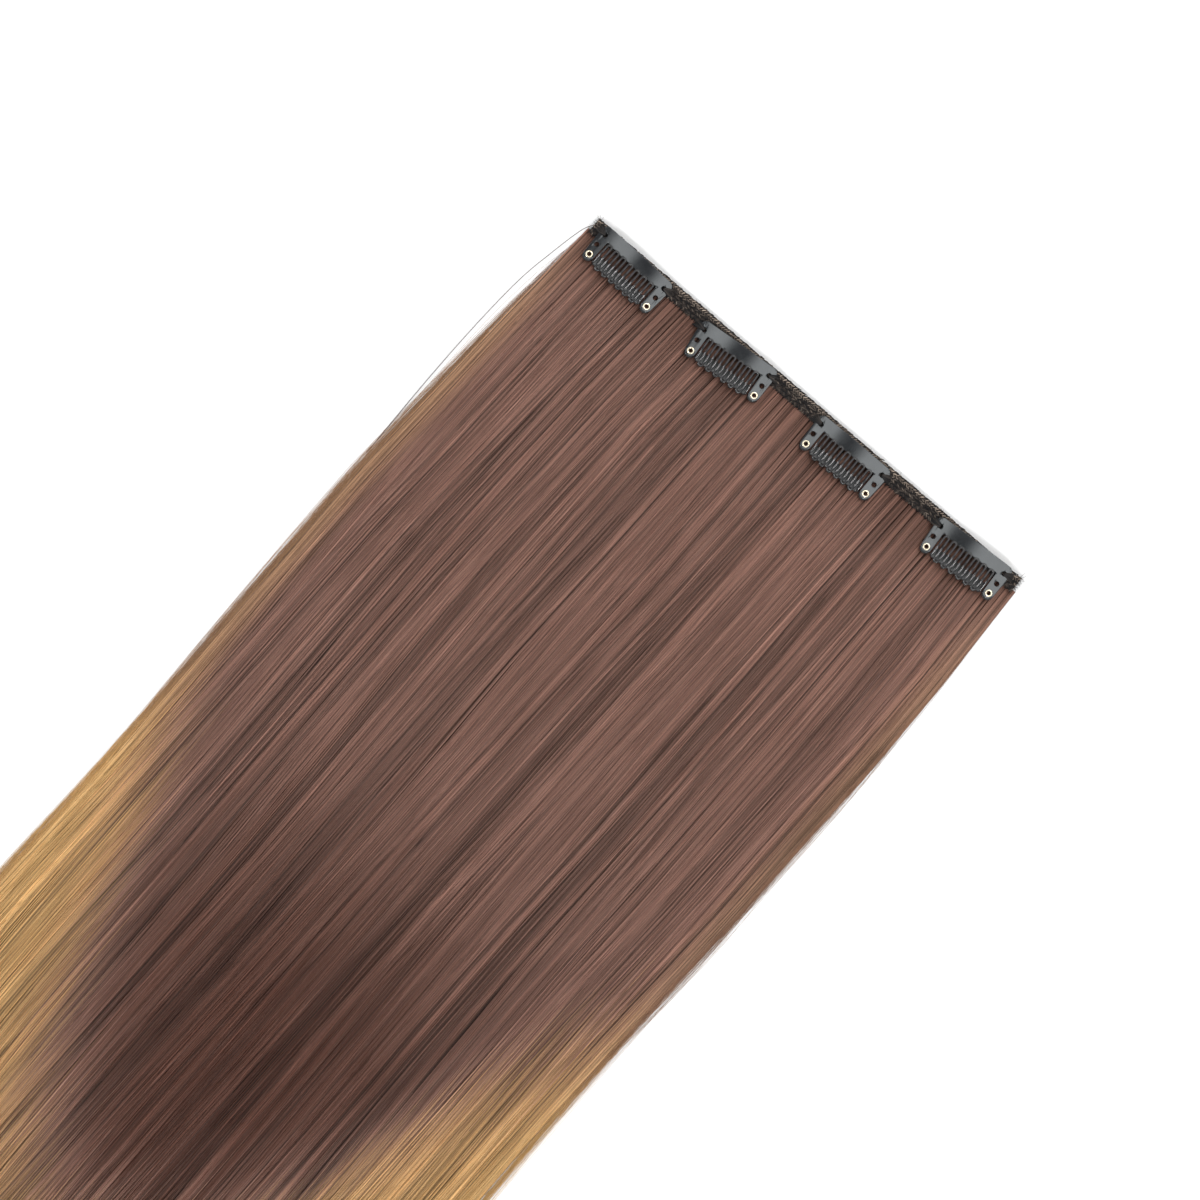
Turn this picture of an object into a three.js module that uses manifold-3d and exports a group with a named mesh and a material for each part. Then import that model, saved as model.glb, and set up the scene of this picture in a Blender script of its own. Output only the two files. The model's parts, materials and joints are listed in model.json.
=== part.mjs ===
// A clip-in hair extension that lies flat with its clips facing up: a sewn weft band, a long straight fall
// of hair from the band's lower edge, and four snap clips along the band. Each clip is a bowed spring
// plate, a comb of looped teeth, a silicone grip tube behind the teeth, and an eyelet at each end.
// Millimetres. +X runs along the band, +Y towards its top edge, +Z up. The origin is on the surface that
// it lies on, under the middle of the whole outline.
import * as THREE from "three";
import { mergeVertices } from "three/addons/utils/BufferGeometryUtils.js";
import Module from "manifold-3d";

const wasm = await Module();
wasm.setup();

// Clearance between pieces that touch on the real object
const SEAT_GAP = 0.3;
const SHANK_GAP = 0.1;

// Weft band, the sewn tape that holds the roots of the hair
const BAND_LENGTH = 222;
const BAND_WIDTH = 7;
const BAND_THICKNESS = 3.2;

// Fall of hair, from the band's lower edge to the longest tip
const HAIR_LENGTH = 553;
const HAIR_SPREAD = 12;
const HAIR_ROOT_THICKNESS = 2.2;
const HAIR_THICKNESS = 5;
const ROOT_STRIP_HEIGHT = 6;
const LOCK_OVERLAP = 0.3;
const LOCK_TAPER = 110;
const LOCK_TIP_WIDTH = 1.6;
const LOCK_TIP_THICKNESS = 0.7;

// Snap clips, measured from the line through a clip's two eyelets
const EYELET_SPACING = 31;
const PLATE_HEIGHT = 13.6;
const PLATE_THICKNESS = 0.6;
const PLATE_BOW = 1.2;
const PLATE_CORNER = 2.6;
const SHOULDER_WIDTH = 3;
const LEG_RADIUS = 2.4;
const WINDOW_HEIGHT = 7.6;
const NOTCH_RADIUS = 0.75;
const SEWING_HOLE_RADIUS = 1;
const SEWING_HOLE_OUTSET = 0.4;

// Comb: its teeth are loops of one strip that winds up and down between the legs of the plate
const TOOTH_COUNT = 7;
const STRAND_WIDTH = 0.95;
const STRAND_THICKNESS = 0.6;
const TOOTH_OVERLAP = 1;
const TOOTH_ARCH = 0.8;
const LOBE_DEPTH = 3.3;
const LOBE_DROP = 0.2;
const COMB_SIDE_GAP = 0.6;
const PIVOT_DEPTH = 1.2;
const END_TAB_HEIGHT = 1.6;

// Grip tube behind the roots of the teeth
const TUBE_WIDTH = 4.6;
const TUBE_HEIGHT = 1.3;
const TUBE_ABOVE_PIVOT = 1.3;

// Eyelets
const EYELET_HOLE_RADIUS = 0.75;
const EYELET_SHANK_RADIUS = 1.1;
const EYELET_FLANGE_RADIUS = 1.55;
const EYELET_FLANGE_THICKNESS = 0.3;

// Facets
const ARC_STEPS = 4;
const HOLE_STEPS = 8;
const EYELET_SIDES = 10;
const BOW_STEP = 4;
const TOOTH_STEP = 2.4;
const TUBE_SIDES = 12;
const TUBE_STEPS = 6;
const LOCK_STEPS = 13;

// Where the clips sit on the band: along is a share of half its length, inset of its width, from its top
// edge, and turn is how far the clip is sewn out of line, in degrees
const CLIPS = [
  { along: -0.805, inset: 0.12, turn: -2 },
  { along: -0.302, inset: 0.28, turn: 5 },
  { along: 0.232, inset: 0.24, turn: 0.5 },
  { along: 0.802, inset: 0.12, turn: 3.6 },
];

// The rows of sewing holes, as shares of the plate's height
const SEWING_HOLE_ROWS = [0.36, 0.73];

// The notches in the window's upper edge, from the left leg to the right one, as shares of half its width
const NOTCH_PLACES = [-1, -0.34, 0.34, 1];

// The band's stitched ribs: across is a share of its width from the top edge, rise of its thickness
const BAND_RIBS = [
  { across: 0, rise: 0.55 },
  { across: 0.06, rise: 0.86 },
  { across: 0.16, rise: 1 },
  { across: 0.26, rise: 0.82 },
  { across: 0.4, rise: 0.95 },
  { across: 0.54, rise: 0.8 },
  { across: 0.68, rise: 0.93 },
  { across: 0.82, rise: 0.78 },
  { across: 0.93, rise: 0.86 },
  { across: 1, rise: 0.6 },
];

// The outline of the fall. down is a share of its length, left and right are shares of the spread, past
// the band's ends, and body runs from 0, as thick as the roots, to 1, the full thickness.
const FALL = [
  { down: 0, left: 0.1, right: 0.15, body: 0 },
  { down: 0.03, left: 0.27, right: 0.22, body: 0 },
  { down: 0.09, left: 0.45, right: 0.26, body: 0.45 },
  { down: 0.16, left: 0.57, right: 0.27, body: 0.8 },
  { down: 0.24, left: 0.76, right: 0.18, body: 1 },
  { down: 0.33, left: 0.79, right: 0.1, body: 1 },
  { down: 0.43, left: 0.77, right: -0.1, body: 0.95 },
  { down: 0.53, left: 0.8, right: -0.16, body: 0.9 },
  { down: 0.63, left: 0.96, right: -0.12, body: 0.8 },
  { down: 0.72, left: 1, right: -0.2, body: 0.65 },
  { down: 0.82, left: 0.8, right: -0.5, body: 0.4 },
  { down: 0.92, left: 0.25, right: -1, body: 0.1 },
  { down: 1, left: -0.4, right: -1.6, body: 0 },
];

// The locks from left to right: width is a share of all the widths, reach of the fall's length, crown of
// its thickness, and drift is how far the lock wanders sideways, as a share of its own width
const LOCKS = [
  { width: 0.75, reach: 0.9, crown: 0.8, drift: 0.05 },
  { width: 1.15, reach: 0.965, crown: 0.95, drift: -0.06 },
  { width: 0.85, reach: 0.94, crown: 0.86, drift: 0.08 },
  { width: 1.2, reach: 0.985, crown: 1, drift: 0.04 },
  { width: 0.9, reach: 0.96, crown: 0.9, drift: -0.07 },
  { width: 1.1, reach: 1, crown: 0.97, drift: 0.06 },
  { width: 0.8, reach: 0.975, crown: 0.88, drift: -0.05 },
  { width: 1.25, reach: 0.995, crown: 1, drift: 0.05 },
  { width: 0.95, reach: 0.955, crown: 0.92, drift: -0.08 },
  { width: 1.05, reach: 0.98, crown: 0.98, drift: 0.07 },
  { width: 0.8, reach: 0.945, crown: 0.87, drift: -0.06 },
  { width: 1.2, reach: 0.97, crown: 0.96, drift: 0.05 },
  { width: 0.75, reach: 0.91, crown: 0.82, drift: -0.04 },
];

// The crowned section of a lock. across is a share of its width and up of its height.
const LOCK_SECTION = [
  { across: -0.5, up: 0 },
  { across: 0.5, up: 0 },
  { across: 0.46, up: 0.7 },
  { across: 0.2, up: 0.97 },
  { across: -0.2, up: 0.97 },
  { across: -0.46, up: 0.7 },
];

const FINISHES = {
  thread: new THREE.MeshStandardMaterial({ color: 0x2a2422, roughness: 0.85 }),
  hair: new THREE.MeshStandardMaterial({ color: 0x7a5a4c, roughness: 0.45 }),
  paint: new THREE.MeshStandardMaterial({ color: 0x1b1d1f, roughness: 0.3, metalness: 0.4 }),
  silicone: new THREE.MeshStandardMaterial({ color: 0x17191a, roughness: 0.4 }),
  brass: new THREE.MeshStandardMaterial({ color: 0xd9b878, roughness: 0.25, metalness: 1 }),
};

const halfSpan = EYELET_SPACING / 2;
const legInner = halfSpan - LEG_RADIUS;
const legOuter = halfSpan + LEG_RADIUS;
const shoulder = halfSpan + SHOULDER_WIDTH;
const toothTop = WINDOW_HEIGHT + TOOTH_OVERLAP;
const strandCount = 2 * TOOTH_COUNT;
const strandPitch = (2 * (legInner - COMB_SIDE_GAP) - STRAND_WIDTH) / (strandCount - 1);
const rootY = -BAND_WIDTH - SEAT_GAP;

const { lerp, smoothstep, degToRad } = THREE.MathUtils;

// How high the bowed plate stands above its ends, at a distance along the clip
function bowAt(x) {
  return PLATE_BOW * (1 - (x / shoulder) ** 2);
}

// The grip tube hangs below the comb's strip, and the clip lies on the band or on the tube
const tubeHalfLength = legInner - COMB_SIDE_GAP;
const tubeDrop = SEAT_GAP + TUBE_HEIGHT - bowAt(tubeHalfLength);
const plateUnderside = SEAT_GAP + Math.max(BAND_THICKNESS, HAIR_ROOT_THICKNESS + tubeDrop);

function node(name, geometry, finish) {
  const mesh = new THREE.Mesh(geometry, finish);
  mesh.name = name;
  return mesh;
}

// A solid for joining, from a closed geometry
function solidOf(geometry) {
  const bare = geometry.clone();
  bare.deleteAttribute("normal");
  bare.deleteAttribute("uv");
  const shell = mergeVertices(bare);
  return new wasm.Manifold(
    new wasm.Mesh({
      numProp: 3,
      vertProperties: shell.getAttribute("position").array,
      triVerts: new Uint32Array(shell.index.array),
    }),
  );
}

function geometryOf(solid) {
  const { vertProperties, triVerts } = solid.getMesh();
  const geometry = new THREE.BufferGeometry();
  geometry.setAttribute("position", new THREE.BufferAttribute(vertProperties, 3));
  geometry.setIndex(new THREE.BufferAttribute(triVerts, 1));
  geometry.computeVertexNormals();
  return geometry;
}

// Draws a straight edge in short steps, so that it can follow a bend
function stepTo(outline, x, y, step) {
  const from = outline.currentPoint.clone();
  const steps = Math.max(1, Math.round(Math.hypot(x - from.x, y - from.y) / step));
  for (let i = 1; i <= steps; i += 1)
    outline.lineTo(lerp(from.x, x, i / steps), lerp(from.y, y, i / steps));
}

// A flat blank of sheet, pressed to follow a height that is given over its plan
function pressed(blank, thickness, heightAt) {
  const sheet = new THREE.ExtrudeGeometry(blank, {
    depth: thickness,
    bevelEnabled: false,
    curveSegments: ARC_STEPS,
  });
  const spots = sheet.getAttribute("position");
  for (let i = 0; i < spots.count; i += 1)
    spots.setZ(i, spots.getZ(i) + heightAt(spots.getX(i), spots.getY(i)));
  sheet.computeVertexNormals();
  return sheet;
}

function roundHole(x, y, radius) {
  const rim = [];
  for (let i = 0; i < HOLE_STEPS; i += 1) {
    const angle = (2 * Math.PI * i) / HOLE_STEPS;
    rim.push(new THREE.Vector2(x + radius * Math.cos(angle), y + radius * Math.sin(angle)));
  }
  return new THREE.Path(rim);
}

// The spring plate: a bar along the top and a leg down each side, with sewing holes by the legs
function plateGeometry() {
  const blank = new THREE.Shape();
  const cornerX = shoulder - PLATE_CORNER;
  const cornerY = PLATE_HEIGHT - PLATE_CORNER;
  blank.moveTo(legInner, 0);
  blank.absarc(halfSpan, 0, LEG_RADIUS, Math.PI, 2 * Math.PI);
  stepTo(blank, shoulder, cornerY, BOW_STEP);
  blank.absarc(cornerX, cornerY, PLATE_CORNER, 0, Math.PI / 2);
  stepTo(blank, -cornerX, PLATE_HEIGHT, BOW_STEP);
  blank.absarc(-cornerX, cornerY, PLATE_CORNER, Math.PI / 2, Math.PI);
  stepTo(blank, -legOuter, 0, BOW_STEP);
  blank.absarc(-halfSpan, 0, LEG_RADIUS, Math.PI, 2 * Math.PI);
  for (const place of NOTCH_PLACES) {
    const middle = place * (legInner - NOTCH_RADIUS);
    stepTo(blank, middle - NOTCH_RADIUS, WINDOW_HEIGHT, BOW_STEP);
    blank.absarc(middle, WINDOW_HEIGHT, NOTCH_RADIUS, Math.PI, 0, true);
  }
  for (const side of [-1, 1]) {
    blank.holes.push(roundHole(side * halfSpan, 0, EYELET_SHANK_RADIUS + SHANK_GAP));
    const holeX = side * (halfSpan + SEWING_HOLE_OUTSET);
    for (const row of SEWING_HOLE_ROWS)
      blank.holes.push(roundHole(holeX, row * PLATE_HEIGHT, SEWING_HOLE_RADIUS));
  }
  return pressed(blank, PLATE_THICKNESS, (x) => plateUnderside + bowAt(x));
}

// How high the comb's strip runs above the plate's underside: level at the pivot, arched over the grip
// tube, and clear of the plate where the tips overlap it
function toothRise(y) {
  const above = y + PIVOT_DEPTH;
  if (above < 0) return (LOBE_DROP * above) / (LOBE_DEPTH - PIVOT_DEPTH);
  const overPlate = smoothstep(y, -PIVOT_DEPTH, WINDOW_HEIGHT - STRAND_WIDTH);
  const arch = Math.sin((Math.PI * above) / (toothTop + PIVOT_DEPTH));
  return (PLATE_THICKNESS + SEAT_GAP) * overPlate + TOOTH_ARCH * arch;
}

// One edge of the winding strip, on its left (side 1) or its right (side -1) as it runs from end to end
function combEdge(side) {
  const offset = (side * STRAND_WIDTH) / 2;
  const bend = strandPitch / 2;
  const topCentre = toothTop - bend - STRAND_WIDTH / 2;
  const lobeCentre = -LOBE_DEPTH + bend + STRAND_WIDTH / 2;
  const endX = -(strandPitch * (strandCount - 1)) / 2;
  const tabX = endX - offset - (COMB_SIDE_GAP - SEAT_GAP);
  const edge = new THREE.Path();
  const tabLow = -PIVOT_DEPTH - END_TAB_HEIGHT / 2;
  const tabHigh = -PIVOT_DEPTH + END_TAB_HEIGHT / 2;
  if (side > 0) {
    edge.moveTo(tabX, tabLow);
    edge.lineTo(tabX, tabHigh);
    edge.lineTo(endX - offset, tabHigh);
  } else edge.moveTo(endX - offset, tabLow);
  for (let i = 0; i < strandCount; i += 1) {
    const x = endX + i * strandPitch;
    const rising = i % 2 === 0;
    const last = i === strandCount - 1;
    if (rising) {
      stepTo(edge, x - offset, topCentre, TOOTH_STEP);
      edge.absarc(x + bend, topCentre, bend + offset, Math.PI, 0, true);
    } else if (!last) {
      stepTo(edge, x + offset, lobeCentre, TOOTH_STEP);
      edge.absarc(x + bend, lobeCentre, bend - offset, Math.PI, 2 * Math.PI, false);
    } else {
      const end = side > 0 ? tabHigh : tabLow;
      stepTo(edge, x + offset, end, TOOTH_STEP);
    }
  }
  if (side > 0) {
    edge.lineTo(-tabX, tabHigh);
    edge.lineTo(-tabX, tabLow);
  }
  return edge.getPoints(ARC_STEPS / 2);
}

function combGeometry() {
  const outline = [...combEdge(-1), ...combEdge(1).reverse()];
  const blank = new THREE.Shape(outline);
  return pressed(blank, STRAND_THICKNESS, (x, y) => plateUnderside + bowAt(x) + toothRise(y));
}

// The grip tube lies behind the roots of the teeth and follows the clip's bow
function tubeGeometry() {
  const section = new THREE.Shape();
  section.absellipse(0, 0, TUBE_HEIGHT / 2, TUBE_WIDTH / 2, 0, 2 * Math.PI);
  const tube = new THREE.ExtrudeGeometry(section, {
    depth: 2 * tubeHalfLength,
    steps: TUBE_STEPS,
    bevelEnabled: false,
    curveSegments: TUBE_SIDES / 2,
  });
  const middle = plateUnderside - SEAT_GAP - TUBE_HEIGHT / 2;
  tube.rotateY(Math.PI / 2);
  tube.translate(-tubeHalfLength, TUBE_ABOVE_PIVOT - PIVOT_DEPTH, middle);
  const spots = tube.getAttribute("position");
  for (let i = 0; i < spots.count; i += 1) spots.setZ(i, spots.getZ(i) + bowAt(spots.getX(i)));
  tube.computeVertexNormals();
  return tube;
}

// A rolled eyelet: a short tube with a flange on each face of the plate, standing along +Z
function eyeletGeometry() {
  const inside = PLATE_THICKNESS / 2 + SHANK_GAP;
  const outside = inside + EYELET_FLANGE_THICKNESS;
  const profile = [
    [EYELET_HOLE_RADIUS, -outside],
    [EYELET_FLANGE_RADIUS, -outside],
    [EYELET_FLANGE_RADIUS, -inside],
    [EYELET_SHANK_RADIUS, -inside],
    [EYELET_SHANK_RADIUS, inside],
    [EYELET_FLANGE_RADIUS, inside],
    [EYELET_FLANGE_RADIUS, outside],
    [EYELET_HOLE_RADIUS, outside],
    [EYELET_HOLE_RADIUS, -outside],
  ].map(([radius, height]) => new THREE.Vector2(radius, height));
  const eyelet = new THREE.LatheGeometry(profile, EYELET_SIDES);
  eyelet.rotateX(Math.PI / 2);
  return eyelet;
}

function eyelet(name, side) {
  const ring = node(name, eyeletGeometry(), FINISHES.brass);
  const slope = (-2 * PLATE_BOW * side * halfSpan) / shoulder ** 2;
  ring.position.set(side * halfSpan, 0, plateUnderside + bowAt(halfSpan) + PLATE_THICKNESS / 2);
  ring.rotation.y = -Math.atan(slope);
  return ring;
}

function snapClip(number, { along, inset, turn }) {
  const clip = new THREE.Group();
  const name = `clip_${number}`;
  clip.add(node(`${name}_plate`, plateGeometry(), FINISHES.paint));
  clip.add(node(`${name}_comb`, combGeometry(), FINISHES.paint));
  clip.add(node(`${name}_grip_tube`, tubeGeometry(), FINISHES.silicone));
  clip.add(eyelet(`${name}_left_eyelet`, -1));
  clip.add(eyelet(`${name}_right_eyelet`, 1));
  clip.position.set((along * BAND_LENGTH) / 2, -inset * BAND_WIDTH - PLATE_HEIGHT, 0);
  clip.rotation.z = degToRad(turn);
  return clip;
}

function weftBand() {
  const section = new THREE.Shape();
  section.moveTo(0, 0);
  for (const { across, rise } of BAND_RIBS) section.lineTo(-across * BAND_WIDTH, rise * BAND_THICKNESS);
  section.lineTo(-BAND_WIDTH, 0);
  const band = new THREE.ExtrudeGeometry(section, { depth: BAND_LENGTH, bevelEnabled: false });
  band.translate(0, 0, -BAND_LENGTH / 2);
  band.rotateX(Math.PI / 2);
  band.rotateZ(Math.PI / 2);
  return node("weft_band", band, FINISHES.thread);
}

// The fall's edges and thickness at a share of its length
function fallAt(down) {
  const next = FALL.findIndex((row, i) => i > 0 && down <= row.down);
  const [above, below] = [FALL[next - 1], FALL[next]];
  const part = (down - above.down) / (below.down - above.down);
  return {
    leftX: -BAND_LENGTH / 2 - lerp(above.left, below.left, part) * HAIR_SPREAD,
    rightX: BAND_LENGTH / 2 + lerp(above.right, below.right, part) * HAIR_SPREAD,
    thickness: lerp(HAIR_ROOT_THICKNESS, HAIR_THICKNESS, lerp(above.body, below.body, part)),
  };
}

// One lock: a crowned strip that starts under the band, follows the fall and narrows to its tip
function lockGeometry(middle, width, { reach, crown, drift }) {
  const section = new THREE.Shape(LOCK_SECTION.map(({ across, up }) => new THREE.Vector2(across, up)));
  const lock = new THREE.ExtrudeGeometry(section, { depth: 1, steps: LOCK_STEPS, bevelEnabled: false });
  const spots = lock.getAttribute("position");
  const length = reach * HAIR_LENGTH;
  for (let i = 0; i < spots.count; i += 1) {
    const run = spots.getZ(i) * length;
    const { leftX, rightX, thickness } = fallAt(run / HAIR_LENGTH);
    const taper = Math.sqrt(Math.min(1, (length - run) / LOCK_TAPER));
    const crowned = lerp(1, crown, smoothstep(run, 0, LOCK_TAPER));
    const wander = drift * width * Math.sin((2 * Math.PI * run) / length);
    const lockWidth = lerp(LOCK_TIP_WIDTH, width * (rightX - leftX), taper);
    const height = lerp(LOCK_TIP_THICKNESS, crowned * thickness, taper);
    const x = lerp(leftX, rightX, middle + wander) + spots.getX(i) * lockWidth;
    spots.setXYZ(i, x, rootY - run, spots.getY(i) * height);
  }
  return lock;
}

// The hair falls from under the band in locks that lie side by side on the flat, fused to a root strip
function hairFall() {
  const strip = new THREE.BoxGeometry(BAND_LENGTH, ROOT_STRIP_HEIGHT, HAIR_ROOT_THICKNESS);
  strip.translate(0, rootY - ROOT_STRIP_HEIGHT / 2, HAIR_ROOT_THICKNESS / 2);
  let hair = solidOf(strip);
  const step = ({ width }) => width * (1 - LOCK_OVERLAP);
  const lastWidth = LOCKS[LOCKS.length - 1].width;
  const total = LOCKS.reduce((sum, lock) => sum + step(lock), 0) + LOCK_OVERLAP * lastWidth;
  let start = 0;
  for (const lock of LOCKS) {
    const width = lock.width / total;
    hair = hair.add(solidOf(lockGeometry(start + width / 2, width, lock)));
    start += step(lock) / total;
  }
  return node("hair_fall", geometryOf(hair), FINISHES.hair);
}

const extension = new THREE.Group();
extension.add(weftBand());
extension.add(hairFall());
CLIPS.forEach((place, i) => extension.add(snapClip(i + 1, place)));

// The middle of the whole outline comes to the origin
const outline = new THREE.Box3().setFromObject(extension);
const middle = outline.getCenter(new THREE.Vector3());
extension.position.set(-middle.x, -middle.y, -outline.min.z);

const root = new THREE.Group();
root.add(extension);

export default root;
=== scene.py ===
"""A clip-in hair extension that lies flat on a pale floor: the looks of its hair, weft band and snap clips.

Metres, in the frame's own axes: +X along the band, +Y towards its top edge, +Z up. A clip is modelled in
millimetres about the middle of the line through its eyelets, and its place comes from its hinge.
"""
import json
import math

import bmesh
import bpy
import numpy as np
from mathutils import Matrix, Vector


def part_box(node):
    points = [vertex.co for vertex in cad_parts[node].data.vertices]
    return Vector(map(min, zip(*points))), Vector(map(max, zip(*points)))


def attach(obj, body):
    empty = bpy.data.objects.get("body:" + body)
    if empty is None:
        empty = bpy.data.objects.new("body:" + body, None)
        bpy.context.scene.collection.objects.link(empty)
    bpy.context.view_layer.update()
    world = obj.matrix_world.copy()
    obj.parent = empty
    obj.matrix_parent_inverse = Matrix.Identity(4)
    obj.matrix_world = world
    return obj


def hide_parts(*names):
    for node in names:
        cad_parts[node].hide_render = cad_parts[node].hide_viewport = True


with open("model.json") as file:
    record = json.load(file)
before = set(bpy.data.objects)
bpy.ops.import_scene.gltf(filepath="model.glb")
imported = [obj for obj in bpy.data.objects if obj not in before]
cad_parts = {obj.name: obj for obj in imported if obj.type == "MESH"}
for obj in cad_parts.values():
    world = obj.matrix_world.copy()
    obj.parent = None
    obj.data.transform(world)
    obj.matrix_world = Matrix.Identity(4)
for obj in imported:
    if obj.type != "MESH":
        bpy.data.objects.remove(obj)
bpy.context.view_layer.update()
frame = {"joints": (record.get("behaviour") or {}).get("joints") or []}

MM = 0.001
WEFT = "weft"

# The band and the hair, in metres
BAND_LOW, BAND_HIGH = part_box("weft_band")
BAND_LEFT, BAND_RIGHT = BAND_LOW.x, BAND_HIGH.x
BAND_TOP, BAND_BOTTOM = BAND_HIGH.y, BAND_LOW.y
BAND_LENGTH = BAND_RIGHT - BAND_LEFT
BAND_WIDTH = BAND_TOP - BAND_BOTTOM
BAND_THICKNESS = BAND_HIGH.z
HAIR_LOW, HAIR_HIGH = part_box("hair_fall")
ROOT_Y = HAIR_HIGH.y
HAIR_LENGTH = HAIR_HIGH.y - HAIR_LOW.y
HAIR_SPREAD = 12 * MM
ROOT_THICKNESS = 1.9 * MM
FULL_THICKNESS = 4.4 * MM
LOWEST_HAIR = 0.15 * MM
ROOT_TUCK = 1.5 * MM
TIP_THINNING = 0.4
EDGE_THINNING = 9 * MM
EDGE_THICKNESS = 0.16
SWELL_DEPTH = 0.12
SWELL_WAVES = 61
SWELL_WANDER = 2.2

# The outline of the fall: down is a share of its length, left and right are shares of the spread, past
# the band's ends, and body runs from 0, as thick as the roots, to 1, the full thickness
FALL = (
    dict(down=0.00, left=0.10, right=0.15, body=0.00),
    dict(down=0.03, left=0.27, right=0.22, body=0.00),
    dict(down=0.09, left=0.45, right=0.26, body=0.45),
    dict(down=0.16, left=0.57, right=0.27, body=0.80),
    dict(down=0.24, left=0.76, right=0.18, body=1.00),
    dict(down=0.33, left=0.79, right=0.10, body=1.00),
    dict(down=0.43, left=0.77, right=-0.10, body=0.95),
    dict(down=0.53, left=0.80, right=-0.16, body=0.90),
    dict(down=0.63, left=0.96, right=-0.12, body=0.80),
    dict(down=0.72, left=1.00, right=-0.20, body=0.65),
    dict(down=0.82, left=0.80, right=-0.50, body=0.40),
    dict(down=0.92, left=0.25, right=-1.00, body=0.10),
    dict(down=1.00, left=-0.40, right=-1.60, body=0.00),
)

# The locks from left to right: width is a share of all the widths, and reach of the fall's length
LOCKS = (
    dict(width=0.75, reach=0.900), dict(width=1.15, reach=0.965), dict(width=0.85, reach=0.940),
    dict(width=1.20, reach=0.985), dict(width=0.90, reach=0.960), dict(width=1.10, reach=1.000),
    dict(width=0.80, reach=0.975), dict(width=1.25, reach=0.995), dict(width=0.95, reach=0.955),
    dict(width=1.05, reach=0.980), dict(width=0.80, reach=0.945), dict(width=1.20, reach=0.970),
    dict(width=0.75, reach=0.910),
)

# Where the colour is half way from brown to blonde: down, in millimetres from the roots, by the share of
# the width from left to right. The change is early along both edges and late in the middle.
CHANGE_LINE = (
    dict(across=0.00, down=272), dict(across=0.10, down=300), dict(across=0.17, down=345),
    dict(across=0.26, down=402), dict(across=0.43, down=448), dict(across=0.60, down=442),
    dict(across=0.74, down=385), dict(across=0.80, down=340), dict(across=0.87, down=296),
    dict(across=0.93, down=274), dict(across=1.00, down=264),
)
CHANGE_RUN = 95
CHANGE_SCATTER = 0.13

# Brown lies at this share of the way from deep brown to blonde. The middle deepens between two places
# down, and a painted glow of light through the thin edges, by left and right, starts below the roots. Lengths
# are in millimetres.
BROWN_SHARE = 0.22
DEEPEST_DOWN = (190, 325)
DEEPEST_ACROSS = 0.525
PAINTED_GLOW_RIM = 12
RIM_GLOW_CHANGE = (0.24, 0.13)
RIM_GLOW_START = 60

# Linear colours from deep brown, at 0, by brown and tan to blonde, at 1
HAIR_COLOURS = (
    (0.00, (0.094, 0.038, 0.025)),
    (BROWN_SHARE, (0.232, 0.127, 0.097)),
    (0.60, (0.445, 0.265, 0.135)),
    (1.00, (0.575, 0.362, 0.152)),
)
TONE_STRENGTH = 0.44
DARKEST_SHADE = 0.12
WORN_SHADE = 0.78

# The layers of single hairs. low and high are shares of the thickness, radius is in millimetres, and tone is
# painted shade on the lower layers, most on the inner one, and a painted highlight on the thin hairs at the
# top.
HAIR_LAYERS = (
    dict(name="hair_strands_under", count=1700, low=0.00, high=0.28, radius=0.19, tone=-0.2, seed=11),
    dict(name="hair_strands_inner", count=2500, low=0.45, high=0.80, radius=0.18, tone=-0.75, seed=23),
    dict(name="hair_strands_outer", count=2100, low=0.76, high=1.00, radius=0.18, tone=0.05, seed=37),
    dict(name="hair_strands_bright", count=900, low=0.92, high=1.04, radius=0.11, tone=0.75, seed=41),
)
STRAND_STATIONS = 13
STATION_POWER = 0.92
STRAND_SIZES = (0.55, 1.15)
STRAND_TAPER = 0.72
HIGHEST_LEVEL = 1.05
LEVEL_WAVE = 0.05
FULL_TURN = 6.3

# How wide the clumps are that share a shade, in millimetres, and how much each counts
CLUMP_SEED = 3
CLUMPS = (dict(width=0.55, weight=0.66), dict(width=2.1, weight=0.24), dict(width=9.0, weight=0.12))
OWN_SHADE = 0.55
TONE_LIMITS = (-1.9, 1.5)
BLONDE_EVENNESS = 0.42

# The pleats in which the roots leave the band, and the painted shade at the roots, darkest between the
# pleats. Shares of the length say how far down they reach.
PLEAT_PITCH = 3.2 * MM
PLEAT_DRIFTS = (dict(size=0.0045, across=83, phase=0), dict(size=0.0025, across=197, phase=1))
PLEAT_DEPTH_TURN = 2.4
PLEAT_GATHER = 0.3
GATHER_RUN = 0.035
PLEAT_PAINTED_SHADE = 0.6
ROOT_PAINTED_SHADE = 0.15
ROOT_PAINTED_SHADE_RUN = 0.045

# How hairs wander sideways, in shares of the width: alone, in clumps, and in slow waves that all share
STRAND_DRIFT = 0.0026
STRAND_BEND = 0.0011
CLUMP_DRIFT = 0.0042
CLUMP_DRIFT_WIDTH = 4.2
DRIFT_SEED = 4
SWAYS = (
    dict(size=0.0050, down=5.1, across=13, phase=0.7),
    dict(size=0.0022, down=11.3, across=47, phase=1.4),
    dict(size=0.0011, down=23, across=131, phase=0),
)
SWAY_START = 0.12

# The tips: some hairs end short by a share of the length, and the others run to narrow wisps in each lock
SHORT_SHARE = 0.45
SHORT_BY = 0.24
LONG_SHORT_BY = 0.05
LOCK_TAPER = 0.17
TIP_WIDTH = 0.5
TIP_PULL = 0.92
TIP_PULL_POWER = 0.6
WISP_WIDTH = 4.4
WISP_AIM = 0.0075
WISP_SEED = 5
WISP_UNEVENNESS = 0.016
UNEVEN_SEED = 7

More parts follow.
